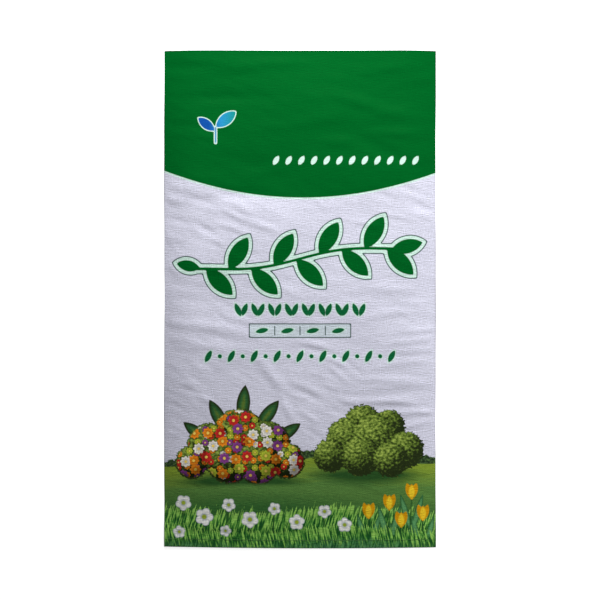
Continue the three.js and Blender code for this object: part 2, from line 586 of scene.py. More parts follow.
@dataclass(frozen=True)
class MiddlePrint:
    """Leafy sprig that rises to the right, with rows of small leaves and a framed strip under it.

    The sprig has a leaf at each end, placed from a point of its stem, and leaves on alternate sides.
    """

    base: float = 75.0 * MM
    rise: float = 0.125
    sway: Wave = Wave(7.0, 48.0)
    stem_half: float = 2.6 * MM
    stem_reach: float = 196.0 * MM
    ends: tuple[tuple[float, Leaf], ...] = (
        (190, Leaf(196, 4, 60, 26, 14)),
        (-200, Leaf(-205, 6, 44, 20, 168)),
    )
    feet: tuple[float, ...] = tuple(np.linspace(-172, 160, 9))
    leaf_length: float = 68.0
    leaf_width: float = 30.0
    leaf_spread: float = 52.0
    strip: Panel = Panel(0, -57, 93, 12.5)
    marks: tuple[Shape, ...] = (
        *in_row(Leaf(-6.2, -18.5, 26, 10, 112), -108, 108, 8),
        *in_row(Leaf(6.2, -18.5, 26, 10, 68), -108, 108, 8),
        *in_row(Leaf(0, -57, 26, 9.2, 12), -69.8, 69.8, 4),
        *in_row(Leaf(0, -104, 26, 10, 62), -168, 168, 9),
        *in_row(Disc(0, -104, 4), -147, 147, 8),
    )

    def stem(self, x: Array | float) -> Array:
        """Line of the sprig's stem: a rising line with a sine on it."""
        return self.base + self.rise * x + self.sway.at(x)

    def sprig(self, x: Array, y: Array) -> Array:
        """Distance to the sprig: the nearest of its curved stem and its leaves.

        Args:
            x: places across the sack.
            y: places along the sack.

        Returns:
            Distances in metres.
        """
        stem = np.maximum(np.abs(y - self.stem(x)) - self.stem_half, np.abs(x) - self.stem_reach)
        leaves = [leaf.placed(0.0, self.stem(foot * MM) / MM) for foot, leaf in self.ends]
        for index, foot in enumerate(self.feet):
            heading = math.degrees(math.atan(self.rise)) + (1 if index % 2 else -1) * self.leaf_spread
            reach, turn = self.leaf_length / 2.0, math.radians(heading)
            aside, above = reach * math.cos(turn), reach * math.sin(turn)
            leaf = Leaf(aside, above, self.leaf_length, self.leaf_width, heading)
            leaves.append(leaf.placed(foot, self.stem(foot * MM) / MM))
        return np.minimum(stem, join(leaves, x, y))

    def fields(self, x: Array, y: Array) -> dict[Field, Array]:
        """Distances for the sprig, the small marks and the strip."""
        marks, strip = join(self.marks, x, y), self.strip.at(x, y)
        return {Field.SPRIG: self.sprig(x, y), Field.MARKS: marks, Field.STRIP: strip}


@dataclass(frozen=True)
class Slope:
    """A printed slope: height of its wavy top in millimetres, and the waves."""

    level: float
    waves: tuple[Wave, ...]

    def at(self, x: Array) -> Array:
        """Height of the top in metres: the level and its sines."""
        return self.level * MM + sum(wave.at(x) for wave in self.waves)


@dataclass(frozen=True)
class FootPrint:
    """Meadow with a hedge, a flowering mound on the left, a shrub on the right, grass and flowers.

    The leaves of a cup flower are placed from the middle of its cup.
    """

    ridge: Slope = Slope(-300, (Wave(10, 95, 0.6), Wave(5, 41)))
    near_ridge: Slope = Slope(-352, (Wave(12, 105, 2.4),))
    grass_top: Slope = Slope(-398, (Wave(6, 60),))
    hedge_gap: float = 14.5 * MM
    hedge_radius: tuple[float, float] = (7.0, 16.5)
    seed: int = 11
    ball_light: tuple[float, float, float] = (-0.45, 0.62, 0.64)
    shrub: tuple[Disc, ...] = (
        Disc(116, -229, 36),
        Disc(163, -232, 30),
        Disc(88, -256, 40),
        Disc(142, -258, 47),
        Disc(194, -276, 34),
        Disc(56, -286, 31),
        Disc(112, -288, 36),
        Disc(166, -294, 32),
    )
    mound: tuple[Disc, ...] = (
        Disc(-112, -252, 52),
        Disc(-164, -270, 44),
        Disc(-62, -268, 46),
        Disc(-198, -298, 31),
        Disc(-24, -296, 33),
        Disc(-128, -292, 46),
        Disc(-76, -300, 40),
    )
    leaves: tuple[Shape, ...] = (
        Leaf(-150, -214, 70, 24, 118),
        Leaf(-104, -192, 72, 25, 84),
        Leaf(-60, -212, 70, 24, 52),
        Leaf(-190, -244, 62, 22, 142),
        Leaf(-24, -244, 62, 22, 34),
    )
    shade: tuple[Shape, ...] = (Leaf(122, -322, 220, 40, 0), Leaf(-106, -334, 250, 44, 0))
    cups: tuple[tuple[float, float], ...] = ((205, -352), (164, -372), (226, -392), (126, -388), (186, -404))
    cup_side: Leaf = Leaf(5, 1, 31, 12, 75)
    cup_front: Leaf = Leaf(0, -1, 28, 13, 90)
    cup_blade: Leaf = Leaf(11, -40, 76, 12, 74)
    cup_foot: float = -12.0
    stem_lean: float = -5.0
    stem_foot: float = -470.0
    stem_half: float = 1.4
    heart_share: float = 0.27
    blossoms: tuple[Petals, ...] = (
        Petals(-214, -373, 15),
        Petals(-176, -399, 17),
        Petals(-131, -377, 13),
        Petals(-92, -404, 16),
        Petals(-47, -384, 12),
        Petals(-6, -409, 15),
        Petals(45, -389, 13),
        Petals(82, -414, 14),
        Petals(-222, -427, 12),
        Petals(-137, -425, 11),
    )

    def hedge(self, x: Array, y: Array) -> Array:
        """Distance to the hedge on the skyline: a row of round crowns of drawn size.

        Args:
            x: places across the sack.
            y: places along the sack.

        Returns:
            Distances in metres.
        """
        rng = np.random.default_rng(self.seed)
        places = np.arange(-WIDTH / 2.0, WIDTH / 2.0, self.hedge_gap)
        feet = zip(places / MM, self.ridge.at(places) / MM)
        return join([Disc(*foot, rng.uniform(*self.hedge_radius)) for foot in feet], x, y)

    def lit(self, crowns: Sequence[Disc], x: Array, y: Array) -> Array:
        """Light on joined crowns, each lit like a ball from the upper left, with later crowns in front.

        Args:
            crowns: crowns from back to front.
            x: places across the sack.
            y: places along the sack.

        Returns:
            Light from 0 to 1.
        """
        light = np.zeros_like(x)
        for crown in crowns:
            aside = (x - crown.x * MM) / (crown.radius * MM)
            above = (y - crown.y * MM) / (crown.radius * MM)
            facing = np.sqrt(np.clip(1.0 - aside**2 - above**2, 0.0, 1.0))
            shine = self.ball_light[0] * aside + self.ball_light[1] * above + self.ball_light[2] * facing
            light = np.where(np.hypot(aside, above) < 1.0, np.clip(shine, 0.0, 1.0), light)
        return light

    def flowers(self) -> dict[Field, Sequence[Shape]]:
        """Foreground flowers: yellow cups of three pointed petals on the right, white blossoms on the left.

        Returns:
            Shapes of stems, blades, petals and hearts.
        """
        spots = [(cx, cy, side) for cx, cy in self.cups for side in (-1, 1)]
        tops = [(bloom.x, bloom.y) for bloom in self.blossoms]
        tops += [(cx, cy + self.cup_foot) for cx, cy in self.cups]
        lean, foot, half = self.stem_lean, self.stem_foot, self.stem_half
        hearts = [Disc(bloom.x, bloom.y, self.heart_share * bloom.radius) for bloom in self.blossoms]
        return {
            Field.STEMS: [Stem(cx, cy, cx + lean, foot, half) for cx, cy in tops],
            Field.BLADES: [self.cup_blade.placed(*spot) for spot in spots],
            Field.CUP_SIDES: [self.cup_side.placed(*spot) for spot in spots],
            Field.CUP_FRONTS: [self.cup_front.placed(cx, cy) for cx, cy in self.cups],
            Field.PETALS: self.blossoms,
            Field.HEARTS: hearts,
        }

    def fields(self, x: Array, y: Array) -> dict[Field, Array]:
        """Distances and lights for everything in the foot zone.

        Args:
            x: places across the sack.
            y: places along the sack.

        Returns:
            One array per field.
        """
        found = {
            Field.HEDGE: self.hedge(x, y),
            Field.HILL: y - self.ridge.at(x),
            Field.SHRUB_LIGHT: self.lit(self.shrub, x, y),
            Field.MOUND_LIGHT: self.lit(self.mound, x, y),
            Field.NEAR_HILL: y - self.near_ridge.at(x),
            Field.GRASS: y - self.grass_top.at(x),
        }
        plants = {Field.SHRUB: self.shrub, Field.MOUND: self.mound, Field.LEAVES: self.leaves}
        for name, shapes in {Field.SHADE: self.shade, **plants, **self.flowers()}.items():
            found[name] = join(shapes, x, y)
        return found


@dataclass(frozen=True)
class PrintLayout:
    """The generic print: head, middle and foot on the front panel, head and plain foot on the back."""

    head: HeadPrint = HeadPrint()
    middle: MiddlePrint = MiddlePrint()
    foot: FootPrint = FootPrint()
    back_foot_top: float = -277.5 * MM

    def fields(self, x: Array, y: Array, front: Flags, outside: Flags) -> dict[Field, Array]:
        """Work out every print field at every point of the cloth.

        Args:
            x: places across the sack.
            y: places along the sack.
            front: true on the outside of the front panel.
            outside: true on the outside of either panel.

        Returns:
            One array per field. Points off the print hold a plain outside distance.
        """
        parts = (self.head.fields(x, y), self.middle.fields(x, y), self.foot.fields(x, y))
        found = {name: np.where(front, value, OFF_PRINT) for part in parts for name, value in part.items()}
        found[Field.HEAD] = np.where(outside, self.head.head(x, y), OFF_PRINT)
        found[Field.FOOT] = np.where(outside & ~front, y - self.back_foot_top, OFF_PRINT)
        return found


@dataclass(frozen=True)
class Grain:
    """Noise on the cloth: a grain's width and height in millimetres, finer layers, and lean in degrees."""

    width: float
    height: float
    detail: float = 2.0
    lean: float = 0.0

    def at(self, tree: Tree, place: Socket | None = None) -> Socket:
        """Noise at each place on the cloth.

        Args:
            tree: node tree.
            place: place on the cloth, where it isn't the cloth's own map.

        Returns:
            Value from 0 to 1.
        """
        flat = place or put(tree, "UVMap", uv_map="cloth")
        leant = put(tree, "Mapping", {0: flat, "Rotation": (0.0, 0.0, math.radians(self.lean))})
        scale = (1.0 / (self.width * MM), 1.0 / (self.height * MM), 1.0)
        scaled = put(tree, "VectorMath", {0: leant, 1: scale}, operation="MULTIPLY")
        noise = {"Vector": scaled, "Scale": 1.0, "Detail": self.detail}
        return put(tree, "TexNoise", noise, noise_dimensions="2D")


@dataclass(frozen=True)
class Cover:
    """Where a layer of print lies: below a level of a field, with a soft edge that a grain may ruffle.

    Level, half width of the soft edge and depth of the ruffle are millimetres.
    """

    field: Field
    level: float = 0.0
    soft: float = 0.5
    ruffle: float = 0.0
    grain: Grain | None = None

    def at(self, tree: Tree) -> Socket:
        """Cover at each place: the field, moved by the grain, fades out across the level.

        Args:
            tree: node tree.

        Returns:
            Value from 0 outside to 1 inside.
        """
        distance = put(tree, "Attribute", output="Fac", attribute_name=self.field.value)
        if self.grain:
            moved = {0: self.grain.at(tree), 1: self.ruffle * MM, 2: distance}
            distance = put(tree, "Math", moved, operation="MULTIPLY_ADD")
        edge = Fade((self.level - self.soft) * MM, (self.level + self.soft) * MM)
        return put(tree, "MapRange", edge.of(distance))


@dataclass(frozen=True)
class Shade:
    """Inks along a grain, or along a field that a grain breaks up.

    The span holds the field values that count as 0 and 1. The share is how much of the grain counts, about
    its middle.
    """

    inks: Ramp
    grain: Grain
    share: float = 1.0
    field: Field | None = None
    span: tuple[float, float] = (0.0, 1.0)

    def colour(self, tree: Tree) -> Socket:
        """Inks by the grain, or by the sum of the grain's share and the field.

        Args:
            tree: node tree.

        Returns:
            Colour socket.
        """
        value = self.grain.at(tree)
        if self.field:
            shift = -self.share / 2.0
            shape = put(tree, "Attribute", output="Fac", attribute_name=self.field.value)
            broad = put(tree, "MapRange", Fade(*self.span, shift, 1.0 + shift).of(shape))
            value = put(tree, "Math", {0: value, 1: self.share, 2: broad}, operation="MULTIPLY_ADD")
        return put(tree, "ValToRGB", {0: value}, ramp=self.inks)


@dataclass(frozen=True)
class Wash:
    """Inks that blend across the cloth from left to right, between two places in millimetres."""

    inks: Ramp
    left: float
    right: float

    def colour(self, tree: Tree) -> Socket:
        """Inks by the place across the cloth.

        Args:
            tree: node tree.

        Returns:
            Colour socket.
        """
        across = put(tree, "SeparateXYZ", {0: put(tree, "UVMap", uv_map="cloth")})
        share = put(tree, "MapRange", Fade(self.left * MM, self.right * MM, 0.0, 1.0).of(across))
        return put(tree, "ValToRGB", {0: share}, ramp=self.inks)


@dataclass(frozen=True)
class Bars:
    """A fill with upright bars: half a step from bar to bar, half a bar and its soft edge, in millimetres."""

    fill: Ink
    bar: Ink
    half_step: float
    half: float
    soft: float = 0.5

    def colour(self, tree: Tree) -> Socket:
        """Bars where the place across the cloth, folded to and fro, comes near zero.

        Args:
            tree: node tree.

        Returns:
            Colour socket.
        """
        across = put(tree, "SeparateXYZ", {0: put(tree, "UVMap", uv_map="cloth")})
        aside = put(tree, "Math", {0: across, 1: self.half_step * MM}, operation="PINGPONG")
        edge = Fade((self.half - self.soft) * MM, (self.half + self.soft) * MM)
        cover = put(tree, "MapRange", edge.of(aside))
        return put(tree, "Mix", {0: cover, 6: self.fill.colour(tree), 7: self.bar.colour(tree)}, **BLEND)


@dataclass(frozen=True)
class Blossoms:
    """Small and then large blossoms over the mound's leaves, one to each drawn cell.

    A blossom's radius is a part of its cell and swings once for each petal. It has one of five inks, drawn
    for each cell, a pale eye, and a soft shadow round it. Cells are millimetres. Fades are parts of a cell.
    """

    leaves: Shade
    inside: Cover = Cover(Field.MOUND, -3.0, 1.0)
    cells: tuple[float, ...] = (15.0, 25.0)
    scatter: float = 0.62
    petals: float = 8.0
    swing: float = -0.045
    petal: Fade = Fade(0.34, 0.40)
    petal_tone: Fade = Fade(0.08, 0.36, 0.62, 1.08)
    eye: Fade = Fade(0.08, 0.13)
    shadow: Fade = Fade(0.36, 0.52, 0.42, 1.0)
    light_tone: Fade = Fade(0.0, 0.8, 0.35, 1.08)
    inks: Ramp = Ramp(
        ((0.0, Ink.RED), (0.28, Ink.ORANGE), (0.54, Ink.PURPLE), (0.72, Ink.LIME), (0.84, Ink.WHITE)),
        stepped=True,
    )

    def colour(self, tree: Tree) -> Socket:
        """Leaves with the blossoms on them, lit as the mound is.

        Args:
            tree: node tree.

        Returns:
            Colour socket.
        """
        leaves = flowered = self.leaves.colour(tree)
        for cell in self.cells:
            flowered = self.bloom(tree, flowered, cell * MM)
        light = put(tree, "Attribute", output="Fac", attribute_name=Field.MOUND_LIGHT.value)
        tone = put(tree, "MapRange", self.light_tone.of(light))
        flowered = put(tree, "Mix", {0: 1.0, 6: flowered, 7: tone}, **DARKEN)
        return put(tree, "Mix", {0: self.inside.at(tree), 6: leaves, 7: flowered}, **BLEND)

    def bloom(self, tree: Tree, under: Socket, cell: float) -> Socket:
        """Print blossoms of one size.

        Args:
            tree: node tree.
            under: colour of what they lie on.
            cell: width of a blossom's cell in metres.

        Returns:
            Colour with the blossoms on it.
        """
        cloth = put(tree, "UVMap", uv_map="cloth")
        cells = {"Vector": cloth, "Scale": 1.0 / cell, "Randomness": self.scatter}
        reach = put(tree, "TexVoronoi", cells, voronoi_dimensions="2D")
        middle, drawn = reach.node.outputs["Position"], reach.node.outputs["Color"]
        aside = put(tree, "VectorMath", {0: cloth, 1: middle}, operation="SUBTRACT")
        run = put(tree, "SeparateXYZ", {0: aside})
        angle = put(tree, "Math", {0: run.node.outputs["Y"], 1: run}, operation="ARCTAN2")
        turns = put(tree, "Math", {0: angle, 1: self.petals}, operation="MULTIPLY")
        wave = put(tree, "Math", {0: turns}, operation="COSINE")
        beyond = put(tree, "Math", {0: wave, 1: self.swing, 2: reach}, operation="MULTIPLY_ADD")
        petal = put(tree, "ValToRGB", {0: put(tree, "SeparateColor", {0: drawn})}, ramp=self.inks)
        tone = put(tree, "MapRange", self.petal_tone.of(beyond))
        petal = put(tree, "Mix", {0: 1.0, 6: petal, 7: tone}, **DARKEN)
        eye = put(tree, "MapRange", self.eye.of(reach))
        petal = put(tree, "Mix", {0: eye, 6: petal, 7: Ink.EYE.colour(tree)}, **BLEND)
        dim = put(tree, "MapRange", self.shadow.of(beyond))
        under = put(tree, "Mix", {0: 1.0, 6: under, 7: dim}, **DARKEN)
        cover = put(tree, "MapRange", self.petal.of(beyond))
        return put(tree, "Mix", {0: cover, 6: under, 7: petal}, **BLEND)


Coat = tuple[Cover, Ink | Shade | Wash | Bars | Blossoms]


@dataclass(frozen=True)
class PrintInks:
    """Coats of ink that make the print, each with its cover and laid over the coats before it.

    The meadow has the hedge, the hill, the shrub and the flowering mound, from back to front. The foreground
    has two layers of grass, with the flowers between and before them. The ornament is the head, the sprig,
    the framed strip and the rows of marks. Spans of a distance are metres.
    """

    clump: Grain = Grain(5.0, 4.0, 3.0)
    mown: Grain = Grain(60.0, 4.0)
    vein: Grain = Grain(9.0, 9.0)
    tuft: Grain = Grain(5.5, 4.5, 5.0)
    turf: Grain = Grain(6.0, 3.0, 3.0)
    far_grass: Grain = Grain(2.8, 24.0, 2.0, 14.0)
    near_grass: Grain = Grain(3.0, 26.0, 2.0, -12.0)
    hedge_inks: Ramp = Ramp(((0.30, Ink.HEDGE_DARK), (0.52, Ink.HEDGE_MID), (0.74, Ink.HEDGE_LIGHT)))
    hill_inks: Ramp = Ramp(((0.1, Ink.HILL_LIGHT), (0.8, Ink.HILL_DARK)))
    vein_inks: Ramp = Ramp(((0.1, Ink.LEAF_DARK), (0.6, Ink.BLADE_RIM), (1.0, Ink.LEAF_MID)))
    leaf_inks: Ramp = Ramp(((0.2, Ink.LEAF_DARK), (0.56, Ink.LEAF_MID), (1.0, Ink.LEAF_LIGHT)))
    near_inks: Ramp = Ramp(((0.1, Ink.HILL_DARK), (0.9, Ink.NEAR_DARK)))
    grass_inks: Ramp = Ramp(((0.32, Ink.GRASS_DARK), (0.50, Ink.GRASS_MID), (0.70, Ink.GRASS_LIGHT)))
    root_inks: Ramp = Ramp(((0.34, Ink.ROOT_DARK), (0.66, Ink.ROOT_LIGHT)))
    petal_inks: Ramp = Ramp(((0.0, Ink.PETAL_RIM), (0.55, Ink.PETAL)))
    seedling_inks: Ramp = Ramp(((0.3, Ink.BLUE), (0.6, Ink.AZURE), (1.0, Ink.TEAL)))
    mound_leaves: Shade = Shade(leaf_inks, tuft, 1.6, Field.MOUND_LIGHT, (0.0, 1.5))
    line: float = 0.9
    meadow: tuple[Coat, ...] = (
        (Cover(Field.FOOT), Ink.FOOT),
        (Cover(Field.HEDGE, -2.0, ruffle=-6.0, grain=clump), Shade(hedge_inks, clump)),
        (Cover(Field.HILL), Shade(hill_inks, mown, 0.5, Field.HILL, (0.0, -60.0 * MM))),
        (Cover(Field.LEAVES), Shade(vein_inks, vein, 0.3, Field.LEAVES, (0.0, -12.0 * MM))),
        (Cover(Field.SHADE, -4.0, 9.0), Ink.SHADOW),
        (
            Cover(Field.SHRUB, -7.0, ruffle=-14.0, grain=tuft),
            Shade(leaf_inks, tuft, 1.7, Field.SHRUB_LIGHT, (0.0, 1.4)),
        ),
        (Cover(Field.MOUND, -5.0, ruffle=-10.0, grain=tuft), Blossoms(mound_leaves)),
        (Cover(Field.NEAR_HILL, soft=4.0), Shade(near_inks, turf, 0.6, Field.NEAR_HILL, (0.0, -45.0 * MM))),
    )
    foreground: tuple[Coat, ...] = (
        (
            Cover(Field.GRASS, -16.0, ruffle=-52.0, grain=far_grass),
            Shade(grass_inks, far_grass, 1.7, Field.GRASS, (-80.0 * MM, 60.0 * MM)),
        ),
        (Cover(Field.BLADES), Ink.BLADE_RIM),
        (Cover(Field.BLADES, -2.0, 1.5), Ink.BLADE),
        (Cover(Field.STEMS), Ink.STEM),
        (
            Cover(Field.GRASS, -52.0, ruffle=-52.0, grain=near_grass),
            Shade(grass_inks, near_grass, 1.7, Field.GRASS, (-108.0 * MM, 42.0 * MM)),
        ),
        (Cover(Field.GRASS, -72.0, 9.0, -34.0, far_grass), Shade(root_inks, far_grass)),
        (Cover(Field.CUP_SIDES), Ink.CUP_SIDE),
        (Cover(Field.CUP_FRONTS, 0.6), Ink.CUP_SIDE),
        (Cover(Field.CUP_FRONTS, -1.0, 1.2), Ink.CUP_FRONT),
        (Cover(Field.PETALS), Ink.PETAL_RIM),
        (Cover(Field.PETALS, -1.2, 0.9), Shade(petal_inks, near_grass, 0.2, Field.HEARTS, (0.0, 8.0 * MM))),
        (Cover(Field.HEARTS, soft=0.8), Ink.HEART),
    )
    ornament: tuple[Coat, ...] = (
        (Cover(Field.HEAD, 3.2), Ink.RIM),
        (Cover(Field.HEAD), Ink.HEAD),
        (Cover(Field.HEAD_MARKS), Ink.RIM),
        (Cover(Field.SEEDLING), Ink.RIM),
        (Cover(Field.SEEDLING, -1.7), Wash(seedling_inks, -190.0, -115.0)),
        (Cover(Field.SPRIG, 7.6), Ink.OUTLINE),
        (Cover(Field.SPRIG, 5.8), Ink.RIM),
        (Cover(Field.SPRIG), Ink.HEAD),
        (Cover(Field.STRIP, line), Ink.OUTLINE),
        (Cover(Field.STRIP, -line), Ink.FILL),
        (Cover(Field.STRIP, -4.0), Bars(Ink.FILL, Ink.OUTLINE, 23.25, line)),
        (Cover(Field.MARKS, 1.6, 1.2), Ink.RIM),
        (Cover(Field.MARKS), Ink.MARK),
    )

    def over(self, tree: Tree, colour: Socket) -> Socket:
        """Print every coat over the bare cloth, in order.

        Args:
            tree: node tree.
            colour: colour of the bare cloth.

        Returns:
            Colour with the print on it.
        """
        for cover, ink in (*self.meadow, *self.foreground, *self.ornament):
            colour = put(tree, "Mix", {0: cover.at(tree), 6: colour, 7: ink.colour(tree)}, **BLEND)
        return colour


@dataclass(frozen=True)
class WovenFilm:
    """Woven polypropylene tape under a matt printed film: satin, crinkled, with a fine tape grain.

    The tapes are drawn coarser than on most such cloth, so that they show in the picture. Bump heights are
    millimetres.
    """

    tape: float = 2.1 * MM
    tape_run: float = 11.0 * MM
    tape_step: float = 0.22
    drawn_share: float = 0.1
    warp_share: Fade = Fade(-0.1, 0.1, 0.0, 0.45)
    tape_tone: Fade = Fade(0.25, 0.75, 0.72, 1.28)
    # Painted shade in the hollows between the floats of the weave.
    gap_shade: Fade = Fade(0.0, 0.35, 0.8, 1.0)
    head_cover: Fade = Fade(-0.5 * MM, 0.5 * MM, 0.5, 0.0)
    # Painted shade along the cloth's edges, where it turns away from the light.
    edge_shade: Fade = Fade(0.0, 2.6 * MM, 0.58, 1.0)
    roughness: Fade = Fade(0.3, 0.7, 0.5, 0.64)
    streak: Grain = Grain(12.0, 3.0, 3.0)
    crumple: Grain = Grain(28.0, 20.0)
    crease: Grain = Grain(40.0, 15.0)
    blotch: Grain = Grain(70.0, 34.0, 3.0)
    cloth_inks: Ramp = Ramp(((0.35, Ink.CLOTH_SHADE), (0.65, Ink.CLOTH)))
    weave_height: float = 0.07
    streak_height: float = 0.12
    crumple_height: float = 0.28
    crease_height: float = 0.5
    specular: float = 0.012
    ior: float = 1.49
    lie: Lie = Lie()
    inks: PrintInks = PrintInks()

    def weave(self, tree: Tree) -> Socket:
        """Height of the plain weave: the product of two sines, one tape to each half wave.

        Args:
            tree: node tree.

        Returns:
            Value from -1 to 1.
        """
        cloth = put(tree, "UVMap", uv_map="cloth")
        step = math.pi / self.tape
        phase = put(tree, "VectorMath", {0: cloth, 1: (step, step, 0.0)}, operation="MULTIPLY")
        waves = put(tree, "SeparateXYZ", {0: put(tree, "VectorMath", {0: phase}, operation="SINE")})
        return put(tree, "Math", {0: waves, 1: waves.node.outputs["Y"]}, operation="MULTIPLY")

    def tapes(self, tree: Tree, weave: Socket) -> Socket:
        """Tone of the tapes: light and dark by turns, more or less so from patch to patch, and a drawn part.

        A tape's tone changes over a run along it, and by a step of the noise from tape to tape.

        Args:
            tree: node tree.
            weave: height of the weave, which shows a weft tape or a warp tape.

        Returns:
            Value from 0 to 1.
        """
        cloth = put(tree, "UVMap", uv_map="cloth")
        place = put(tree, "SeparateXYZ", {0: cloth}).node.outputs
        per_tape = (1.0 / self.tape, 1.0 / self.tape, 0.0)
        per_run = (1.0 / self.tape_run, self.tape_step, 0.0)
        count = put(tree, "VectorMath", {0: cloth, 1: per_tape}, operation="MULTIPLY")
        count = put(tree, "VectorMath", {0: count}, operation="FLOOR")
        number = put(tree, "SeparateXYZ", {0: count}).node.outputs
        tones = []
        for along, tape in ((place["X"], number["Y"]), (place["Y"], number["X"])):
            spot = put(tree, "CombineXYZ", {0: along, 1: tape})
            spot = put(tree, "VectorMath", {0: spot, 1: per_run}, operation="MULTIPLY")
            tone = put(tree, "TexNoise", {"Vector": spot, "Scale": 1.0}, noise_dimensions="2D")
            other = put(tree, "Math", {0: 1.0, 1: tone}, operation="SUBTRACT")
            odd = put(tree, "Math", {0: tape, 1: 1.0}, operation="PINGPONG")
            tones.append(put(tree, "Mix", {0: odd, 2: tone, 3: other}))
        shown = put(tree, "MapRange", self.warp_share.of(weave))
        tape = put(tree, "Mix", {0: shown, 2: tones[0], 3: tones[1]})
        drawn = put(tree, "TexWhiteNoise", {"Vector": count}, noise_dimensions="2D")
        return put(tree, "Mix", {0: self.drawn_share, 2: tape, 3: drawn})

    def crests(self, tree: Tree) -> Socket:
        """Place on the cloth with its second part taken across the crests: y sheared by a parabola in x.

        Args:
            tree: node tree.

        Returns:
            Vector socket.
        """
        cloth = put(tree, "SeparateXYZ", {0: put(tree, "UVMap", uv_map="cloth")})
        slope = put(tree, "Math", {0: cloth, 1: self.lie.bend, 2: self.lie.slope}, operation="MULTIPLY_ADD")
        across = put(tree, "Math", {0: slope, 1: cloth, 2: cloth.node.outputs["Y"]}, operation="MULTIPLY_ADD")
        return put(tree, "CombineXYZ", {0: cloth, 1: across})

    def tone(self, tree: Tree, weave: Socket) -> Socket:
        """Tone of the cloth: its tapes, painted shade in the gaps between them, calmer under the head, and
        painted shade along the edges.

        Args:
            tree: node tree.
            weave: height of the weave.

        Returns:
            Factor on the colour.
        """
        tone = put(tree, "MapRange", self.tape_tone.of(self.tapes(tree, weave)))
        # Painted shade: darker where the weave's height passes zero, in the hollows between the floats.
        crown = put(tree, "Math", {0: weave}, operation="ABSOLUTE")
        gap = put(tree, "MapRange", self.gap_shade.of(crown))
        tone = put(tree, "Math", {0: tone, 1: gap}, operation="MULTIPLY")
        head = put(tree, "Attribute", output="Fac", attribute_name=Field.HEAD.value)
        cover = put(tree, "MapRange", self.head_cover.of(head))
        tone = put(tree, "Mix", {0: cover, 2: tone, 3: 1.0})
        # Painted shade: darker over the last few millimetres to each edge, where the cloth turns away from
        # the light.
        edge = put(tree, "Attribute", output="Fac", attribute_name=Field.EDGE.value)
        painted_edge_shade = put(tree, "MapRange", self.edge_shade.of(edge))
        return put(tree, "Math", {0: tone, 1: painted_edge_shade}, operation="MULTIPLY")

    def material(self) -> bpy.types.Material:
        """Make the cloth's material.

        The eye gets a satin lavender white with a fine tape grain, inks that follow the same grain, a soft
        broken sheen from the film's crinkle and a painted line of shade where the cloth turns away at its
        edges.

        Returns:
            The material.
        """
        material, tree = new_material("woven_polypropylene_printed_film")
        weave, crumple = self.weave(tree), self.crumple.at(tree)
        colour = self.inks.over(tree, Shade(self.cloth_inks, self.blotch).colour(tree))
        colour = put(tree, "Mix", {0: 1.0, 6: colour, 7: self.tone(tree, weave)}, **DARKEN)
        height: Socket | float = 0.0
        for pattern, size in (
            (weave, self.weave_height),
            (self.streak.at(tree), self.streak_height),
            (crumple, self.crumple_height),
            (self.crease.at(tree, self.crests(tree)), self.crease_height),
        ):
            height = put(tree, "Math", {0: pattern, 1: size, 2: height}, operation="MULTIPLY_ADD")
        bump = put(tree, "Bump", {"Height": height, "Strength": 1.0, "Distance": MM})
        rough = put(tree, "MapRange", self.roughness.of(crumple))
        look = {"Base Color": colour, "Roughness": rough, "Normal": bump, "IOR": self.ior}
        shader = put(tree, "BsdfPrincipled", {**look, "Specular IOR Level": self.specular})
        put(tree, "OutputMaterial", {"Surface": shader})
        return material


@dataclass(frozen=True)
class TwistedThread:
    """Twisted polyester sewing thread: matt, dark green, with fine lighter fibres.

    The fibres are drawn coarser than real ones, so that they show from close up.
    """

    roughness: float = 0.8
    ior: float = 1.54
    fibre: float = 0.48 * MM
    fibre_detail: float = 3.0
    fibre_depth: float = 0.12 * MM
    fibre_strength: float = 0.6
    inks: Ramp = Ramp(((0.35, Ink.THREAD), (0.75, Ink.THREAD_LIGHT)))

    def material(self) -> bpy.types.Material:
        """Make the thread's material: fine fibres as colour and bump, which break up the light on its plies.

        Returns:
            The material.
        """
        material, tree = new_material("twisted_polyester_thread")
        place = put(tree, "TexCoord", output="Object")
        noise = {"Vector": place, "Scale": 1.0 / self.fibre, "Detail": self.fibre_detail}
        fibres = put(tree, "TexNoise", noise)
        colour = put(tree, "ValToRGB", {0: fibres}, ramp=self.inks)
        relief = {"Height": fibres, "Strength": self.fibre_strength, "Distance": self.fibre_depth}
        bump = put(tree, "Bump", relief)
        look = {"Base Color": colour, "Roughness": self.roughness, "Normal": bump, "IOR": self.ior}
        put(tree, "OutputMaterial", {"Surface": put(tree, "BsdfPrincipled", look)})
        return material


@dataclass
class Rows:
    """Rows of the cloth from the mouth to the cut edge of the turned end, one array per quantity.

    A row has its place along the sack, the height and radius of what it lies on, its lean round the bottom
    fold, its share of the bottom's bow, the air under the front panel, and its distance along the cloth.
    """

    y: Array
    z: Array
    radius: Array
    lean: Array
    lift: Array
    air: Array
    run: Array


@dataclass(frozen=True)
class Mesh:
    """How finely the cloth is drawn: columns and rows of both skins.

    The outer rows lie closer in the middle and closest at the foot, where the print is finest.
    """

    front_columns: int = 204
    back_columns: int = 8
    fold_steps: int = 8
    inner_share: int = 4
    head_rows: int = 75
    middle_rows: int = 138
    foot_rows: int = 133
    hem_rows: int = 9
    turn_rows: int = 10
    flap_rows: int = 6
    inner_rows: int = 92
    inner_hem_rows: int = 4
    inner_turn_rows: int = 8
    inner_flap_rows: int = 3
    head_end: float = 210.0 * MM
    middle_end: float = -150.0 * MM


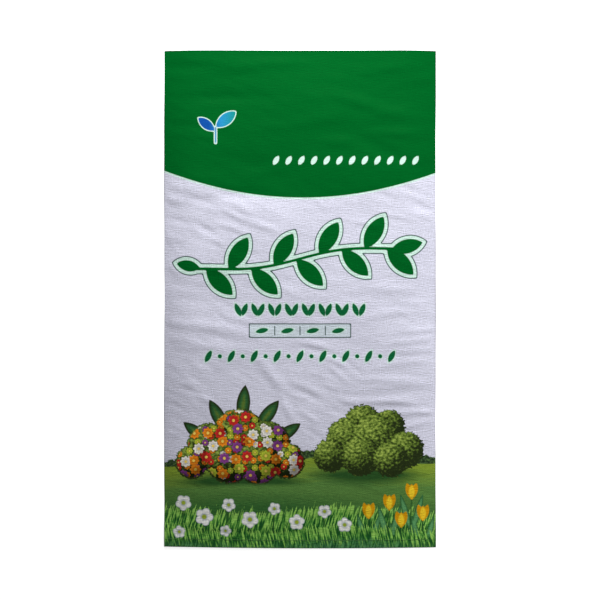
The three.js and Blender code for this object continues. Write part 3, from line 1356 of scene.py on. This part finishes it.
@dataclass
class SackCloth:
    """The woven tube: front and back panels, side folds, open mouth and the turned bottom hem.

    The relief of the front panel is its ripples, its main creases and the ones drawn for each zone.
    """

    width: float = WIDTH
    length: float = 915.0 * MM
    fabric: float = 0.3 * MM
    layer_gap: float = 0.25 * MM
    body_gap: float = 9.5 * MM
    mouth_gap: float = 8.5 * MM
    mouth_settle: float = 130.0 * MM
    mouth_bow: float = 0.2 * MM
    mouth_calm: float = 30.0 * MM
    side_roll: float = 64.0 * MM
    hem_roll: float = 90.0 * MM
    side_draw: float = 0.2 * MM
    side_waves: tuple[Wave, ...] = (Wave(0.45, 75.0, 0.0, 1.7), Wave(0.15, 21.0, 0.6, 2.3))
    bottom_bow: float = 2.6 * MM
    bottom_skew: float = -0.7 * MM
    hem_depth: float = 25.0 * MM
    hem_rise: float = 34.0 * MM
    hem_margin: float = 3.0 * MM
    hem_underside: float = 1.9 * MM
    relief_rise: float = 3.0
    inner_sink: float = 2.4 * MM
    sink_limit: float = 0.6
    seed: int = 23
    mesh: Mesh = Mesh()
    ripples: Ripples = Ripples()
    swells: tuple[Swell, ...] = (
        Swell(0.9 * MM, 236.0 * MM, 52.0, 0.4),
        Swell(0.75 * MM, 163.0 * MM, 118.0, 2.1),
        Swell(0.5 * MM, 121.0 * MM, 71.0, 1.2),
    )
    creases: tuple[Crease, ...] = (
        Crease(-144, 434, -8, 170, 14, 0.8),
        Crease(160, 424, 4, 190, 14, 1.3),
        Crease(-120, 411, 3, 140, 11, -0.5),
        Crease(-130, 371, 0, 240, 13, -1.6),
        Crease(118, 360, -16, 210, 16, 2.2),
        Crease(-40, 318, 5, 160, 12, 0.6),
        Crease(180, 306, -2, 150, 11, 1.6),
        Crease(-74, 137, -20, 125, 10, 1.7),
        Crease(-140, 180, -30, 105, 11, 1.1),
        Crease(-205, 203, -12, 130, 11, 1.0),
        Crease(-240, 185, -8, 90, 11, 1.6),
        Crease(-240, 114, -10, 90, 11, 1.4),
        Crease(-130, 118, -25, 95, 8, 0.9),
        Crease(-236, 60, -45, 65, 9, 0.8),
        Crease(36, 178, -45, 45, 7, 0.8),
        Crease(212, 156, -12, 135, 10, 1.4),
        Crease(166, 20, -6, 140, 14, 1.9),
        Crease(66, 33, -4, 85, 11, 1.0),
        Crease(205, -5, -2, 95, 9, 1.2),
        Crease(-165, -50, -9, 200, 12, 1.7),
        Crease(-195, -80, -12, 125, 9, 1.0),
        Crease(28, -84, -8, 115, 8, 1.0),
        Crease(-52, -139, -50, 120, 13, 2.0),
        Crease(-24, -200, -62, 105, 10, 1.2),
        Crease(-205, -155, -4, 65, 8, 0.7),
        Crease(-171, -184, -35, 75, 8, 1.0),
        Crease(188, -188, -5, 95, 8, 1.5),
        Crease(224, -206, -6, 75, 7, 1.3),
    )
    zones: tuple[CreaseZone, ...] = (
        CreaseZone((-250, 100), (-100, 190), 9, (-28, 8), (50, 110), (7, 10), (1.0, 1.7)),
        CreaseZone((120, 130), (250, 210), 6, (-17, 6), (60, 120), (7, 10), (0.9, 1.6)),
        CreaseZone((-250, -110), (-80, 100), 12, (-12, 8), (70, 150), (7, 11), (0.4, 0.9)),
        CreaseZone((-80, -110), (120, 100), 12, (-6, 12), (50, 120), (7, 11), (0.4, 0.8)),
        CreaseZone((140, -245), (240, -15), 10, (3, 4), (110, 190), (8, 11), (1.1, 1.8), up_share=1.0),
        CreaseZone((-20, -260), (130, -110), 15, (-32, 14), (50, 100), (6.5, 9), (0.6, 1.1)),
        CreaseZone((-250, -240), (-80, -110), 14, (-30, 14), (40, 80), (6, 9), (0.3, 0.7)),
        CreaseZone((-250, -450), (250, -240), 20, (0, 14), (60, 140), (6, 10), (0.3, 0.6)),
        CreaseZone((-250, 190), (250, 450), 16, (-2, 8), (100, 240), (13, 22), (0.9, 1.9)),
        CreaseZone((-250, -420), (20, 210), 100, (-28, 22), (25, 85), (3.5, 6.5), (0.2, 0.5), True),
        CreaseZone((-20, -420), (250, 210), 100, (3, 20), (25, 85), (3.5, 6.5), (0.2, 0.5), True),
        CreaseZone((-250, 200), (250, 450), 40, (-4, 20), (25, 85), (3.5, 6.5), (0.04, 0.1), True),
    )

    @property
    def pitch(self) -> float:
        """Middle of one pressed layer to the middle of the next."""
        return self.fabric + self.layer_gap

    @property
    def turn_z(self) -> float:
        """Height of the bottom fold's axis."""
        return self.hem_underside + 1.5 * self.fabric + self.layer_gap + self.pitch / 2.0

    @property
    def turn_y(self) -> float:
        """Place of the bottom fold's axis along the sack."""
        return -self.length / 2.0 + 1.5 * self.pitch + self.fabric / 2.0

    @property
    def climb_end(self) -> float:
        """Where the back panel has climbed onto the turned end."""
        return -self.length / 2.0 + self.hem_depth + self.hem_margin

    def roll(self, distance: Array, reach: float) -> Array:
        """Share of the full height at a distance from a fold: 1 less the square of what is left."""
        left = 1.0 - np.clip(distance / reach, 0.0, 1.0)
        return 1.0 - left * left

    def bow(self, x: Array, share: Array | float) -> Array:
        """How far a row lifts towards the mouth: a skewed parabola, by the share that reaches the row."""
        aside = x / (self.width / 2.0)
        return share * (self.bottom_bow * aside**2 + self.bottom_skew * aside)

    def mouth_dip(self, x: Array) -> Array:
        """How far the mouth's edge dips between its corners: a parabola."""
        return self.mouth_bow * (1.0 - (x / (self.width / 2.0)) ** 2)

    def rows(self, body: Array, hem: int, turn: int, flap: int) -> Rows:
        """Lay out the rows of one skin.

        Args:
            body: places of the body's rows, from the mouth to where the climb ends.
            hem: rows on top of the hem.
            turn: steps round the bottom fold.
            flap: rows on the turned end.

        Returns:
            The rows.
        """
        half = self.length / 2.0
        settle = smoothstep(body, half - self.mouth_settle, half)
        gap = self.body_gap + (self.mouth_gap - self.body_gap) * settle
        climb = smoothstep(body, self.climb_end, self.climb_end + self.hem_rise)
        slack = 1.0 - smoothstep(body, self.climb_end, self.climb_end + 2.0 * self.hem_roll)
        top = self.turn_z + self.pitch / 2.0
        flat = np.linspace(self.climb_end, self.turn_y, hem + 1)[1:]
        leans = np.linspace(0.0, math.pi, turn + 1)[1:]
        back = np.linspace(self.turn_y, -half + self.hem_depth, flap + 1)[1:]
        ends = (0, hem + turn + flap)
        y = np.concatenate([body, flat, np.full(turn, self.turn_y), back])
        lean = np.concatenate([np.zeros(len(body) + hem), leans, np.full(flap, math.pi)])
        step = np.hypot(np.diff(y), np.diff(lean) * self.pitch)
        return Rows(
            y=y,
            z=np.pad(top + (self.fabric / 2.0 - top) * climb, ends, constant_values=self.turn_z),
            radius=np.pad(np.zeros(len(body)), ends, constant_values=self.pitch / 2.0),
            lean=lean,
            lift=np.pad(slack, ends, constant_values=1.0),
            air=np.pad(gap * self.roll(body - self.climb_end, self.hem_roll), ends),
            run=half - np.concatenate([[0.0], np.cumsum(step)]),
        )

    def around(self) -> tuple[Array, Array, Array, Flags]:
        """Steps round the tube: front from left to right, right fold, back from right to left, left fold.

        Returns:
            Share of the half width, side and height of the fold's turn, and true on the front panel.
        """
        front = np.linspace(-1.0, 1.0, self.mesh.front_columns + 1)
        back = np.linspace(1.0, -1.0, self.mesh.back_columns + 1)
        turn = np.linspace(0.0, math.pi, self.mesh.fold_steps + 1)[1:-1]
        share = np.concatenate([front, np.ones_like(turn), back, -np.ones_like(turn)])
        side = np.concatenate([0.0 * front, np.sin(turn), 0.0 * back, -np.sin(turn)])
        level = np.concatenate([0.0 * front + 1.0, np.cos(turn), 0.0 * back - 1.0, -np.cos(turn)])
        return share, side, level, np.arange(len(share)) < len(front)

    def wrinkle(self, x: Array, y: Array) -> Array:
        """Relief of the front panel: its ripples, main creases and drawn creases, added up.

        Args:
            x: places across the sack.
            y: places along the sack.

        Returns:
            Heights in metres.
        """
        rng = np.random.default_rng(self.seed)
        drawn = [crease for zone in self.zones for crease in zone.draw(rng)]
        creases = np.sum([crease.at(x, y) for crease in [*self.creases, *drawn]], axis=0)
        return self.ripples.at(x, y) + creases

    def skin(self, rows: Rows, outer: bool, thin: int = 1) -> Array:
        """One skin of the cloth, as a function of the step round the tube and the row along it.

        Across, the section is the front panel, a half circle at each side fold and the back panel. The side
        folds stray by a slow and a quick sine. The front panel stands off the back by the air inside, more
        or less by its swells and, outside, its relief. Inside, it sinks to keep clear of the relief, by no
        more than a share of its height. Along, each row is placed on the floor, up the climb, round the
        bottom fold or under the hem.

        Args:
            rows: rows of this skin.
            outer: true for the outer skin.
            thin: keep one step round the tube in this many.

        Returns:
            Points, with one row of points per row.
        """
        share, side, level, on_front = (part[::thin] for part in self.around())
        row_y, row_z, radius, lean, lift, air = (
            part[:, None] for part in (rows.y, rows.z, rows.radius, rows.lean, rows.lift, rows.air)
        )
        half, full = self.length / 2.0, air / self.body_gap
        fold = (self.width - self.pitch - self.fabric) / 2.0 - self.side_draw * np.minimum(full, 1.0)
        offset = self.pitch / 2.0 + (self.fabric / 2.0 if outer else -self.fabric / 2.0)
        loose = smoothstep(row_y, self.climb_end, self.climb_end + self.hem_roll)
        stray = loose * sum(wave.at(row_y, np.sign(share)) for wave in self.side_waves)
        x = (fold + stray) * share + offset * side
        y = row_y + np.zeros_like(x)
        rise = self.roll(fold * (1.0 - np.abs(share)), self.side_roll) * on_front
        swell = np.sum([wave.at(x, y) for wave in self.swells], axis=0)
        lifted = air * rise * (1.0 + swell / self.body_gap)
        free = smoothstep(half - y, 0.0, self.mouth_calm) * np.clip(self.relief_rise * rise * full, 0.0, 1.0)
        if outer:
            lifted = lifted + self.wrinkle(x, y) * free
        else:
            lifted = lifted - np.minimum(self.inner_sink * free, self.sink_limit * lifted)
        reach = radius + self.pitch / 2.0 + offset * level + lifted
        near_mouth = smoothstep(y, half - self.mouth_settle, half)
        y = y - reach * np.sin(lean) + self.bow(x, lift) - near_mouth * self.mouth_dip(x)
        return np.stack([x, y, row_z + reach * np.cos(lean)], axis=-1)

    def build(self) -> bpy.types.Object:
        """Build the tube: a fine outer skin, a coarser inner skin, and a rim between them at each end.

        Returns:
            The cloth object.
        """
        mesh, half = self.mesh, self.length / 2.0
        head = np.linspace(half, mesh.head_end, mesh.head_rows)
        middle = np.linspace(mesh.head_end, mesh.middle_end, mesh.middle_rows)[1:]
        foot = np.linspace(mesh.middle_end, self.climb_end, mesh.foot_rows)[1:]
        body = np.concatenate([head, middle, foot])
        outer_rows = self.rows(body, mesh.hem_rows, mesh.turn_rows, mesh.flap_rows)
        body = np.linspace(half, self.climb_end, mesh.inner_rows)
        inner_rows = self.rows(body, mesh.inner_hem_rows, mesh.inner_turn_rows, mesh.inner_flap_rows)
        outer = self.skin(outer_rows, outer=True)
        inner = self.skin(inner_rows, outer=False, thin=mesh.inner_share)
        steps, coarse = outer.shape[1], inner.shape[1]
        shift = outer.shape[0] * steps
        outer_faces, outer_map = self.grid(outer_rows, steps, 0, flip=False)
        inner_faces, inner_map = self.grid(inner_rows, coarse, shift, flip=True)
        mouth_faces = self.rim(0, shift, coarse, flip=False)
        end_faces = self.rim(shift - steps, shift + (inner.shape[0] - 1) * coarse, coarse, flip=True)
        parts = (outer_faces, inner_faces, mouth_faces, end_faces)
        points = np.concatenate([outer.reshape(-1, 3), inner.reshape(-1, 3)])
        piece = mesh_piece("woven_sack_cloth", points, [face for part in parts for face in part.tolist()])
        rims = np.repeat([[0.0, outer_rows.run[0]], [0.0, outer_rows.run[-1]]], mouth_faces.size, axis=0)
        places = np.concatenate([outer_map, inner_map, rims]).astype(np.float32)
        piece.data.uv_layers.new(name="cloth").uv.foreach_set("vector", places.ravel())
        self.lay_print(piece, points, outer_rows, steps)
        return piece

    def grid(self, rows: Rows, steps: int, first: int, flip: bool) -> tuple[Numbers, Array]:
        """Faces and cloth map of one skin, closed round the tube.

        Args:
            rows: rows of the skin.
            steps: points round the tube.
            first: number of the skin's first point.
            flip: true to turn the faces round.

        Returns:
            Four corners per face, and the map's place at each corner: distance round the tube from the middle
            of the front, and distance along the cloth.
        """
        row, step = (part.ravel() for part in np.indices((len(rows.y) - 1, steps)))
        below, ahead, after = row + 1, step + 1, (step + 1) % steps
        corners = [(row, step, step), (below, step, step), (below, after, ahead), (row, after, ahead)]
        if flip:
            corners = corners[::-1]
        faces = np.stack([first + r * steps + s for r, s, _ in corners], axis=-1)
        share, _, _, on_front = self.around()
        thin = len(share) // steps
        share, on_front = share[::thin], on_front[::thin]
        behind = (np.cumsum(~on_front) - 1) / (~on_front).sum()
        place = np.where(on_front, self.width * share / 2.0, self.width * (0.5 + behind))
        place = np.append(place, 1.5 * self.width)
        places = np.stack([np.stack([place[s], rows.run[r]], axis=-1) for r, _, s in corners], axis=1)
        return faces, places.reshape(-1, 2)

    def rim(self, fine: int, coarse: int, count: int, flip: bool) -> Numbers:
        """Triangles between a fine ring and a coarse ring with a quarter of its points.

        Each coarse step takes five triangles: two on its first point, one across, and two on its second.

        Args:
            fine: number of the fine ring's first point.
            coarse: number of the coarse ring's first point.
            count: points of the coarse ring.
            flip: true to turn the faces round.

        Returns:
            Three corners per triangle.
        """
        here = np.arange(count)
        near, after = coarse + here, coarse + (here + 1) % count
        share = self.mesh.inner_share
        spot = [fine + (share * here + k) % (share * count) for k in range(share + 1)]
        sides = [
            (spot[0], spot[1], near),
            (spot[1], spot[2], near),
            (spot[2], after, near),
            (spot[2], spot[3], after),
            (spot[3], spot[4], after),
        ]
        faces = np.concatenate([np.stack(side, axis=-1) for side in sides])
        return faces[:, ::-1] if flip else faces

    def lay_print(self, piece: bpy.types.Object, points: Array, rows: Rows, steps: int) -> None:
        """Store the print fields, and the distance to the nearest edge of the cloth, on the points.

        On the turned end, the print runs on past the bottom fold: the place is mirrored in the fold.

        Args:
            piece: cloth object.
            points: all the points, with the outer skin's first.
            rows: rows of the outer skin.
            steps: points round the outer skin.
        """
        x, y = points[:, 0], points[:, 1]
        number = np.arange(len(points))
        outside = number < len(rows.y) * steps
        front = outside & (number % steps <= self.mesh.front_columns)
        lean = np.append(rows.lean, 0.0)[np.minimum(number // steps, len(rows.y))]
        fold = self.bow(x, 1.0) - self.length / 2.0
        flat_y = np.where(outside & (lean > math.pi / 2.0), 2.0 * fold - y, y)
        found = PrintLayout().fields(x, flat_y, front, outside)
        edges = [self.length / 2.0 - self.mouth_dip(x) - y, y - fold, self.width / 2.0 - np.abs(x)]
        found[Field.EDGE] = np.where(outside, np.minimum.reduce(edges), OFF_PRINT)
        for name, value in found.items():
            made = piece.data.attributes.new(name.value, "FLOAT", "POINT")
            made.data.foreach_set("value", value.astype(np.float32))

    def dress(self, piece: bpy.types.Object) -> None:
        """Give the cloth its finish and say what it is to the frame.

        Args:
            piece: cloth object.
        """
        piece.data.materials.append(WovenFilm().material())
        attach(piece, "root")
        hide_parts("bag_body")


@dataclass
class SeamThread:
    """One thread in a single-thread chain stitch along the hem.

    The reference is a direction in which the thread never runs.
    """

    cloth: SackCloth
    seam_line: float = 15.0 * MM
    stitch: float = 14.0 * MM
    margin: float = 6.0 * MM
    tail: float = 4.0 * MM
    thread: float = 0.7 * MM
    clearance: float = 0.2 * MM
    plies: int = 3
    ply_turn: float = 2.4 * MM
    ply_depth: float = 0.12
    step: float = 0.36 * MM
    sides: int = 12
    bight_points: int = 6
    corner_cut: float = 0.2
    corner_passes: int = 2
    sharp_deg: float = 60.0
    reference: tuple[float, float, float] = (0.48, 0.36, 0.80)

    def route(self) -> Array:
        """Corner points of the thread, loop by loop.

        Each stitch runs over the hem, goes down its hole, under the last loop and round the next hole, and
        comes back up the hole that it went down.

        Returns:
            Points in metres.
        """
        cloth, pitch = self.cloth, self.thread + self.clearance
        layers = 4.0 * cloth.fabric + 3.0 * cloth.layer_gap
        top = cloth.hem_underside + layers + self.clearance + self.thread / 2.0
        chain = cloth.hem_underside - self.clearance - self.thread / 2.0
        under = chain - pitch
        beside, bight = pitch / 2.0, 1.5 * pitch
        leave, climb = bight + pitch, bight + 3.0 * pitch
        angle = np.linspace(-math.pi / 2.0, math.pi / 2.0, self.bight_points)
        flat = np.full(self.bight_points, chain)
        curve = np.stack([self.stitch + bight * np.cos(angle), bight * np.sin(angle), flat], axis=-1)
        down = [[0.0, -beside, top], [0.0, -beside, under], [leave, -beside, under], [climb, -bight, chain]]
        home = [[climb, bight, chain], [leave, beside, under], [0.0, beside, under], [0.0, beside, top]]
        loop = np.concatenate([down, curve, home])
        count = int((cloth.width - 2.0 * self.margin) // self.stitch)
        holes = (np.arange(count + 1) - count / 2.0) * self.stitch
        loops = loop[None, :, :] + np.array([1.0, 0.0, 0.0]) * holes[:-1, None, None]
        start = [[holes[0] - self.tail, -beside, top]]
        last = holes[-1]
        end = [[last, -beside, top], [last, -beside, under], [last + self.tail, -beside, under]]
        points = np.concatenate([start, loops.reshape(-1, 3), end])
        points[:, 1] += self.seam_line - cloth.length / 2.0 + cloth.bow(points[:, 0], 1.0)
        return points

    def path(self) -> Array:
        """Rounded thread path: its corners cut a few times, then even steps along it.

        Returns:
            Points in metres, one step apart.
        """
        points, near = self.route(), self.corner_cut
        for _ in range(self.corner_passes):
            first = (1.0 - near) * points[:-1] + near * points[1:]
            second = near * points[:-1] + (1.0 - near) * points[1:]
            cut = np.stack([first, second], axis=1).reshape(-1, 3)
            points = np.concatenate([points[:1], cut, points[-1:]])
        run = np.concatenate([[0.0], np.cumsum(np.linalg.norm(np.diff(points, axis=0), axis=1))])
        places = np.linspace(0.0, run[-1], int(run[-1] / self.step))
        return np.stack([np.interp(places, run, points[:, axis]) for axis in range(3)], axis=-1)

    def build(self) -> bpy.types.Object:
        """Build the thread: a section with a lobe for each ply, which turns as it is carried along the path.

        Returns:
            The thread object.
        """
        path = self.path()
        ahead = np.gradient(path, axis=0)
        ahead /= np.linalg.norm(ahead, axis=1, keepdims=True)
        aside = np.cross(ahead, np.array(self.reference))
        aside /= np.linalg.norm(aside, axis=1, keepdims=True)
        above = np.cross(ahead, aside)
        angle = np.linspace(0.0, 2.0 * math.pi, self.sides, endpoint=False)
        twist = 2.0 * math.pi * np.arange(len(path))[:, None] * self.step / self.ply_turn
        lobes = 1.0 - self.ply_depth + self.ply_depth * np.cos(self.plies * angle[None, :] - twist)
        cos, sin = np.cos(angle)[None, :, None], np.sin(angle)[None, :, None]
        ring = cos * aside[:, None, :] + sin * above[:, None, :]
        points = (path[:, None, :] + self.thread / 2.0 * lobes[:, :, None] * ring).reshape(-1, 3)
        row, side = np.indices((len(path) - 1, self.sides))
        here, after = row * self.sides + side, row * self.sides + (side + 1) % self.sides
        walls = np.stack([here, after, after + self.sides, here + self.sides], axis=-1).reshape(-1, 4)
        last = (len(path) - 1) * self.sides
        caps = [list(range(self.sides))[::-1], list(range(last, last + self.sides))]
        return mesh_piece("bottom_seam_thread", points, walls.tolist() + caps, self.sharp_deg)

    def dress(self, piece: bpy.types.Object) -> None:
        """Give the thread its finish and say what it is to the frame.

        Args:
            piece: thread object.
        """
        piece.data.materials.append(TwistedThread().material())
        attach(piece, "root")
        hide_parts("bottom_stitching")


@dataclass(frozen=True)
class Lamp:
    """A soft square lamp that faces the middle of the sack: watts, side in metres, place."""

    name: str
    watts: float
    size: float
    place: tuple[float, float, float]

    def build(self) -> bpy.types.Object:
        """Make the lamp and turn it to the origin.

        Returns:
            The lamp object.
        """
        data = bpy.data.lights.new(self.name, "AREA")
        data.energy = self.watts
        data.size = self.size
        lamp = bpy.data.objects.new(self.name, data)
        x, y, z = self.place
        lamp.location = self.place
        lamp.rotation_euler = (math.atan2(math.hypot(x, y), z), 0.0, math.atan2(y, x) + math.pi / 2.0)
        bpy.context.scene.collection.objects.link(lamp)
        return lamp


@dataclass
class Studio:
    """Pale floor, two soft lamps in an even surround, and a camera that looks straight down.

    The floor's glow rises to full white away from the sack.
    """

    frame_width: float = 1.1045
    lens: float = 100.0
    sensor: float = 36.0
    centre_y: float = -0.7 * MM
    floor_half: float = 6.0
    floor_level: float = -0.5 * MM
    floor_white: str = "F2F2F2"
    floor_glow: Fade = Fade(0.8, 1.6, 0.72, 1.0)
    surround_white: str = "FFFFFF"
    surround_level: Fade = Fade(0.0, 1.0, 0.12, 1.0)
    lamps: tuple[Lamp, ...] = (
        Lamp("key_lamp", 17.6, 0.6, (-0.03, 1.05, 0.75)),
        Lamp("side_lamp", 6.3, 0.6, (0.98, -0.12, 0.69)),
    )

    def camera(self) -> bpy.types.Object:
        """Camera over the middle of the sack, with +Y up in the picture.

        Returns:
            The camera object.
        """
        data = bpy.data.cameras.new("camera")
        data.sensor_width = self.sensor
        data.lens = self.lens
        camera = bpy.data.objects.new("camera", data)
        camera.location = (0.0, self.centre_y, self.frame_width * self.lens / self.sensor)
        bpy.context.scene.collection.objects.link(camera)
        bpy.context.scene.camera = camera
        return camera

    def seen(self, tree: Tree) -> Socket:
        """Tell the rays from the camera, and those that a gloss or a clear thing sends on, from the rest.

        Args:
            tree: node tree.

        Returns:
            1 for such rays, 0 for others.
        """
        path = put(tree, "LightPath").node.outputs
        either = put(tree, "Math", {0: path["Is Camera Ray"], 1: path["Is Glossy Ray"]}, operation="MAXIMUM")
        return put(tree, "Math", {0: either, 1: path["Is Transmission Ray"]}, operation="MAXIMUM")

    def floor(self) -> bpy.types.Object:
        """Floor: a flat sheet with a pale matt paint that shows white and keeps the shadow.

        Returns:
            The floor object.
        """
        side = self.floor_half
        corners = np.array([[-side, -side], [side, -side], [side, side], [-side, side]])
        points = np.column_stack([corners, np.full(4, self.floor_level)])
        piece = mesh_piece("floor", points, [[0, 1, 2, 3]])
        material, tree = new_material("matt_white_paint")
        place = put(tree, "TexCoord", output="Object")
        reach = put(tree, "VectorMath", {0: place}, "Value", operation="LENGTH")
        glow = put(tree, "MapRange", self.floor_glow.of(reach))
        glow = put(tree, "Math", {0: self.seen(tree), 1: glow}, operation="MULTIPLY")
        light = put(tree, "Emission", {"Strength": glow})
        matt = put(tree, "BsdfDiffuse", {"Color": linear(self.floor_white)})
        put(tree, "OutputMaterial", {"Surface": put(tree, "AddShader", {0: matt, 1: light})})
        piece.data.materials.append(material)
        return piece

    def surround(self) -> bpy.types.World:
        """Even pale surround that the camera sees as white.

        Returns:
            The world.
        """
        world = bpy.data.worlds.new("surround")
        bpy.context.scene.world = world
        world.use_nodes = True
        tree = world.node_tree
        tree.nodes.clear()
        level = put(tree, "MapRange", self.surround_level.of(self.seen(tree)))
        surround = put(tree, "Background", {"Color": linear(self.surround_white), "Strength": level})
        put(tree, "OutputWorld", {"Surface": surround})
        return world

    def build(self) -> None:
        """Set up the whole studio and the plain view transform."""
        bpy.context.scene.view_settings.view_transform = "Standard"
        self.camera()
        self.floor()
        for lamp in self.lamps:
            lamp.build()
        self.surround()


def main() -> None:
    """Build the studio, the cloth and the thread in order."""
    logging.basicConfig(level=logging.INFO, format="%(name)s: %(message)s")
    Studio().build()
    cloth = SackCloth()
    for part in (cloth, SeamThread(cloth)):
        piece = part.build()
        part.dress(piece)
        LOG.info("%s: %d points, %d faces", piece.name, len(piece.data.vertices), len(piece.data.polygons))


if __name__ == "__main__":
    main()
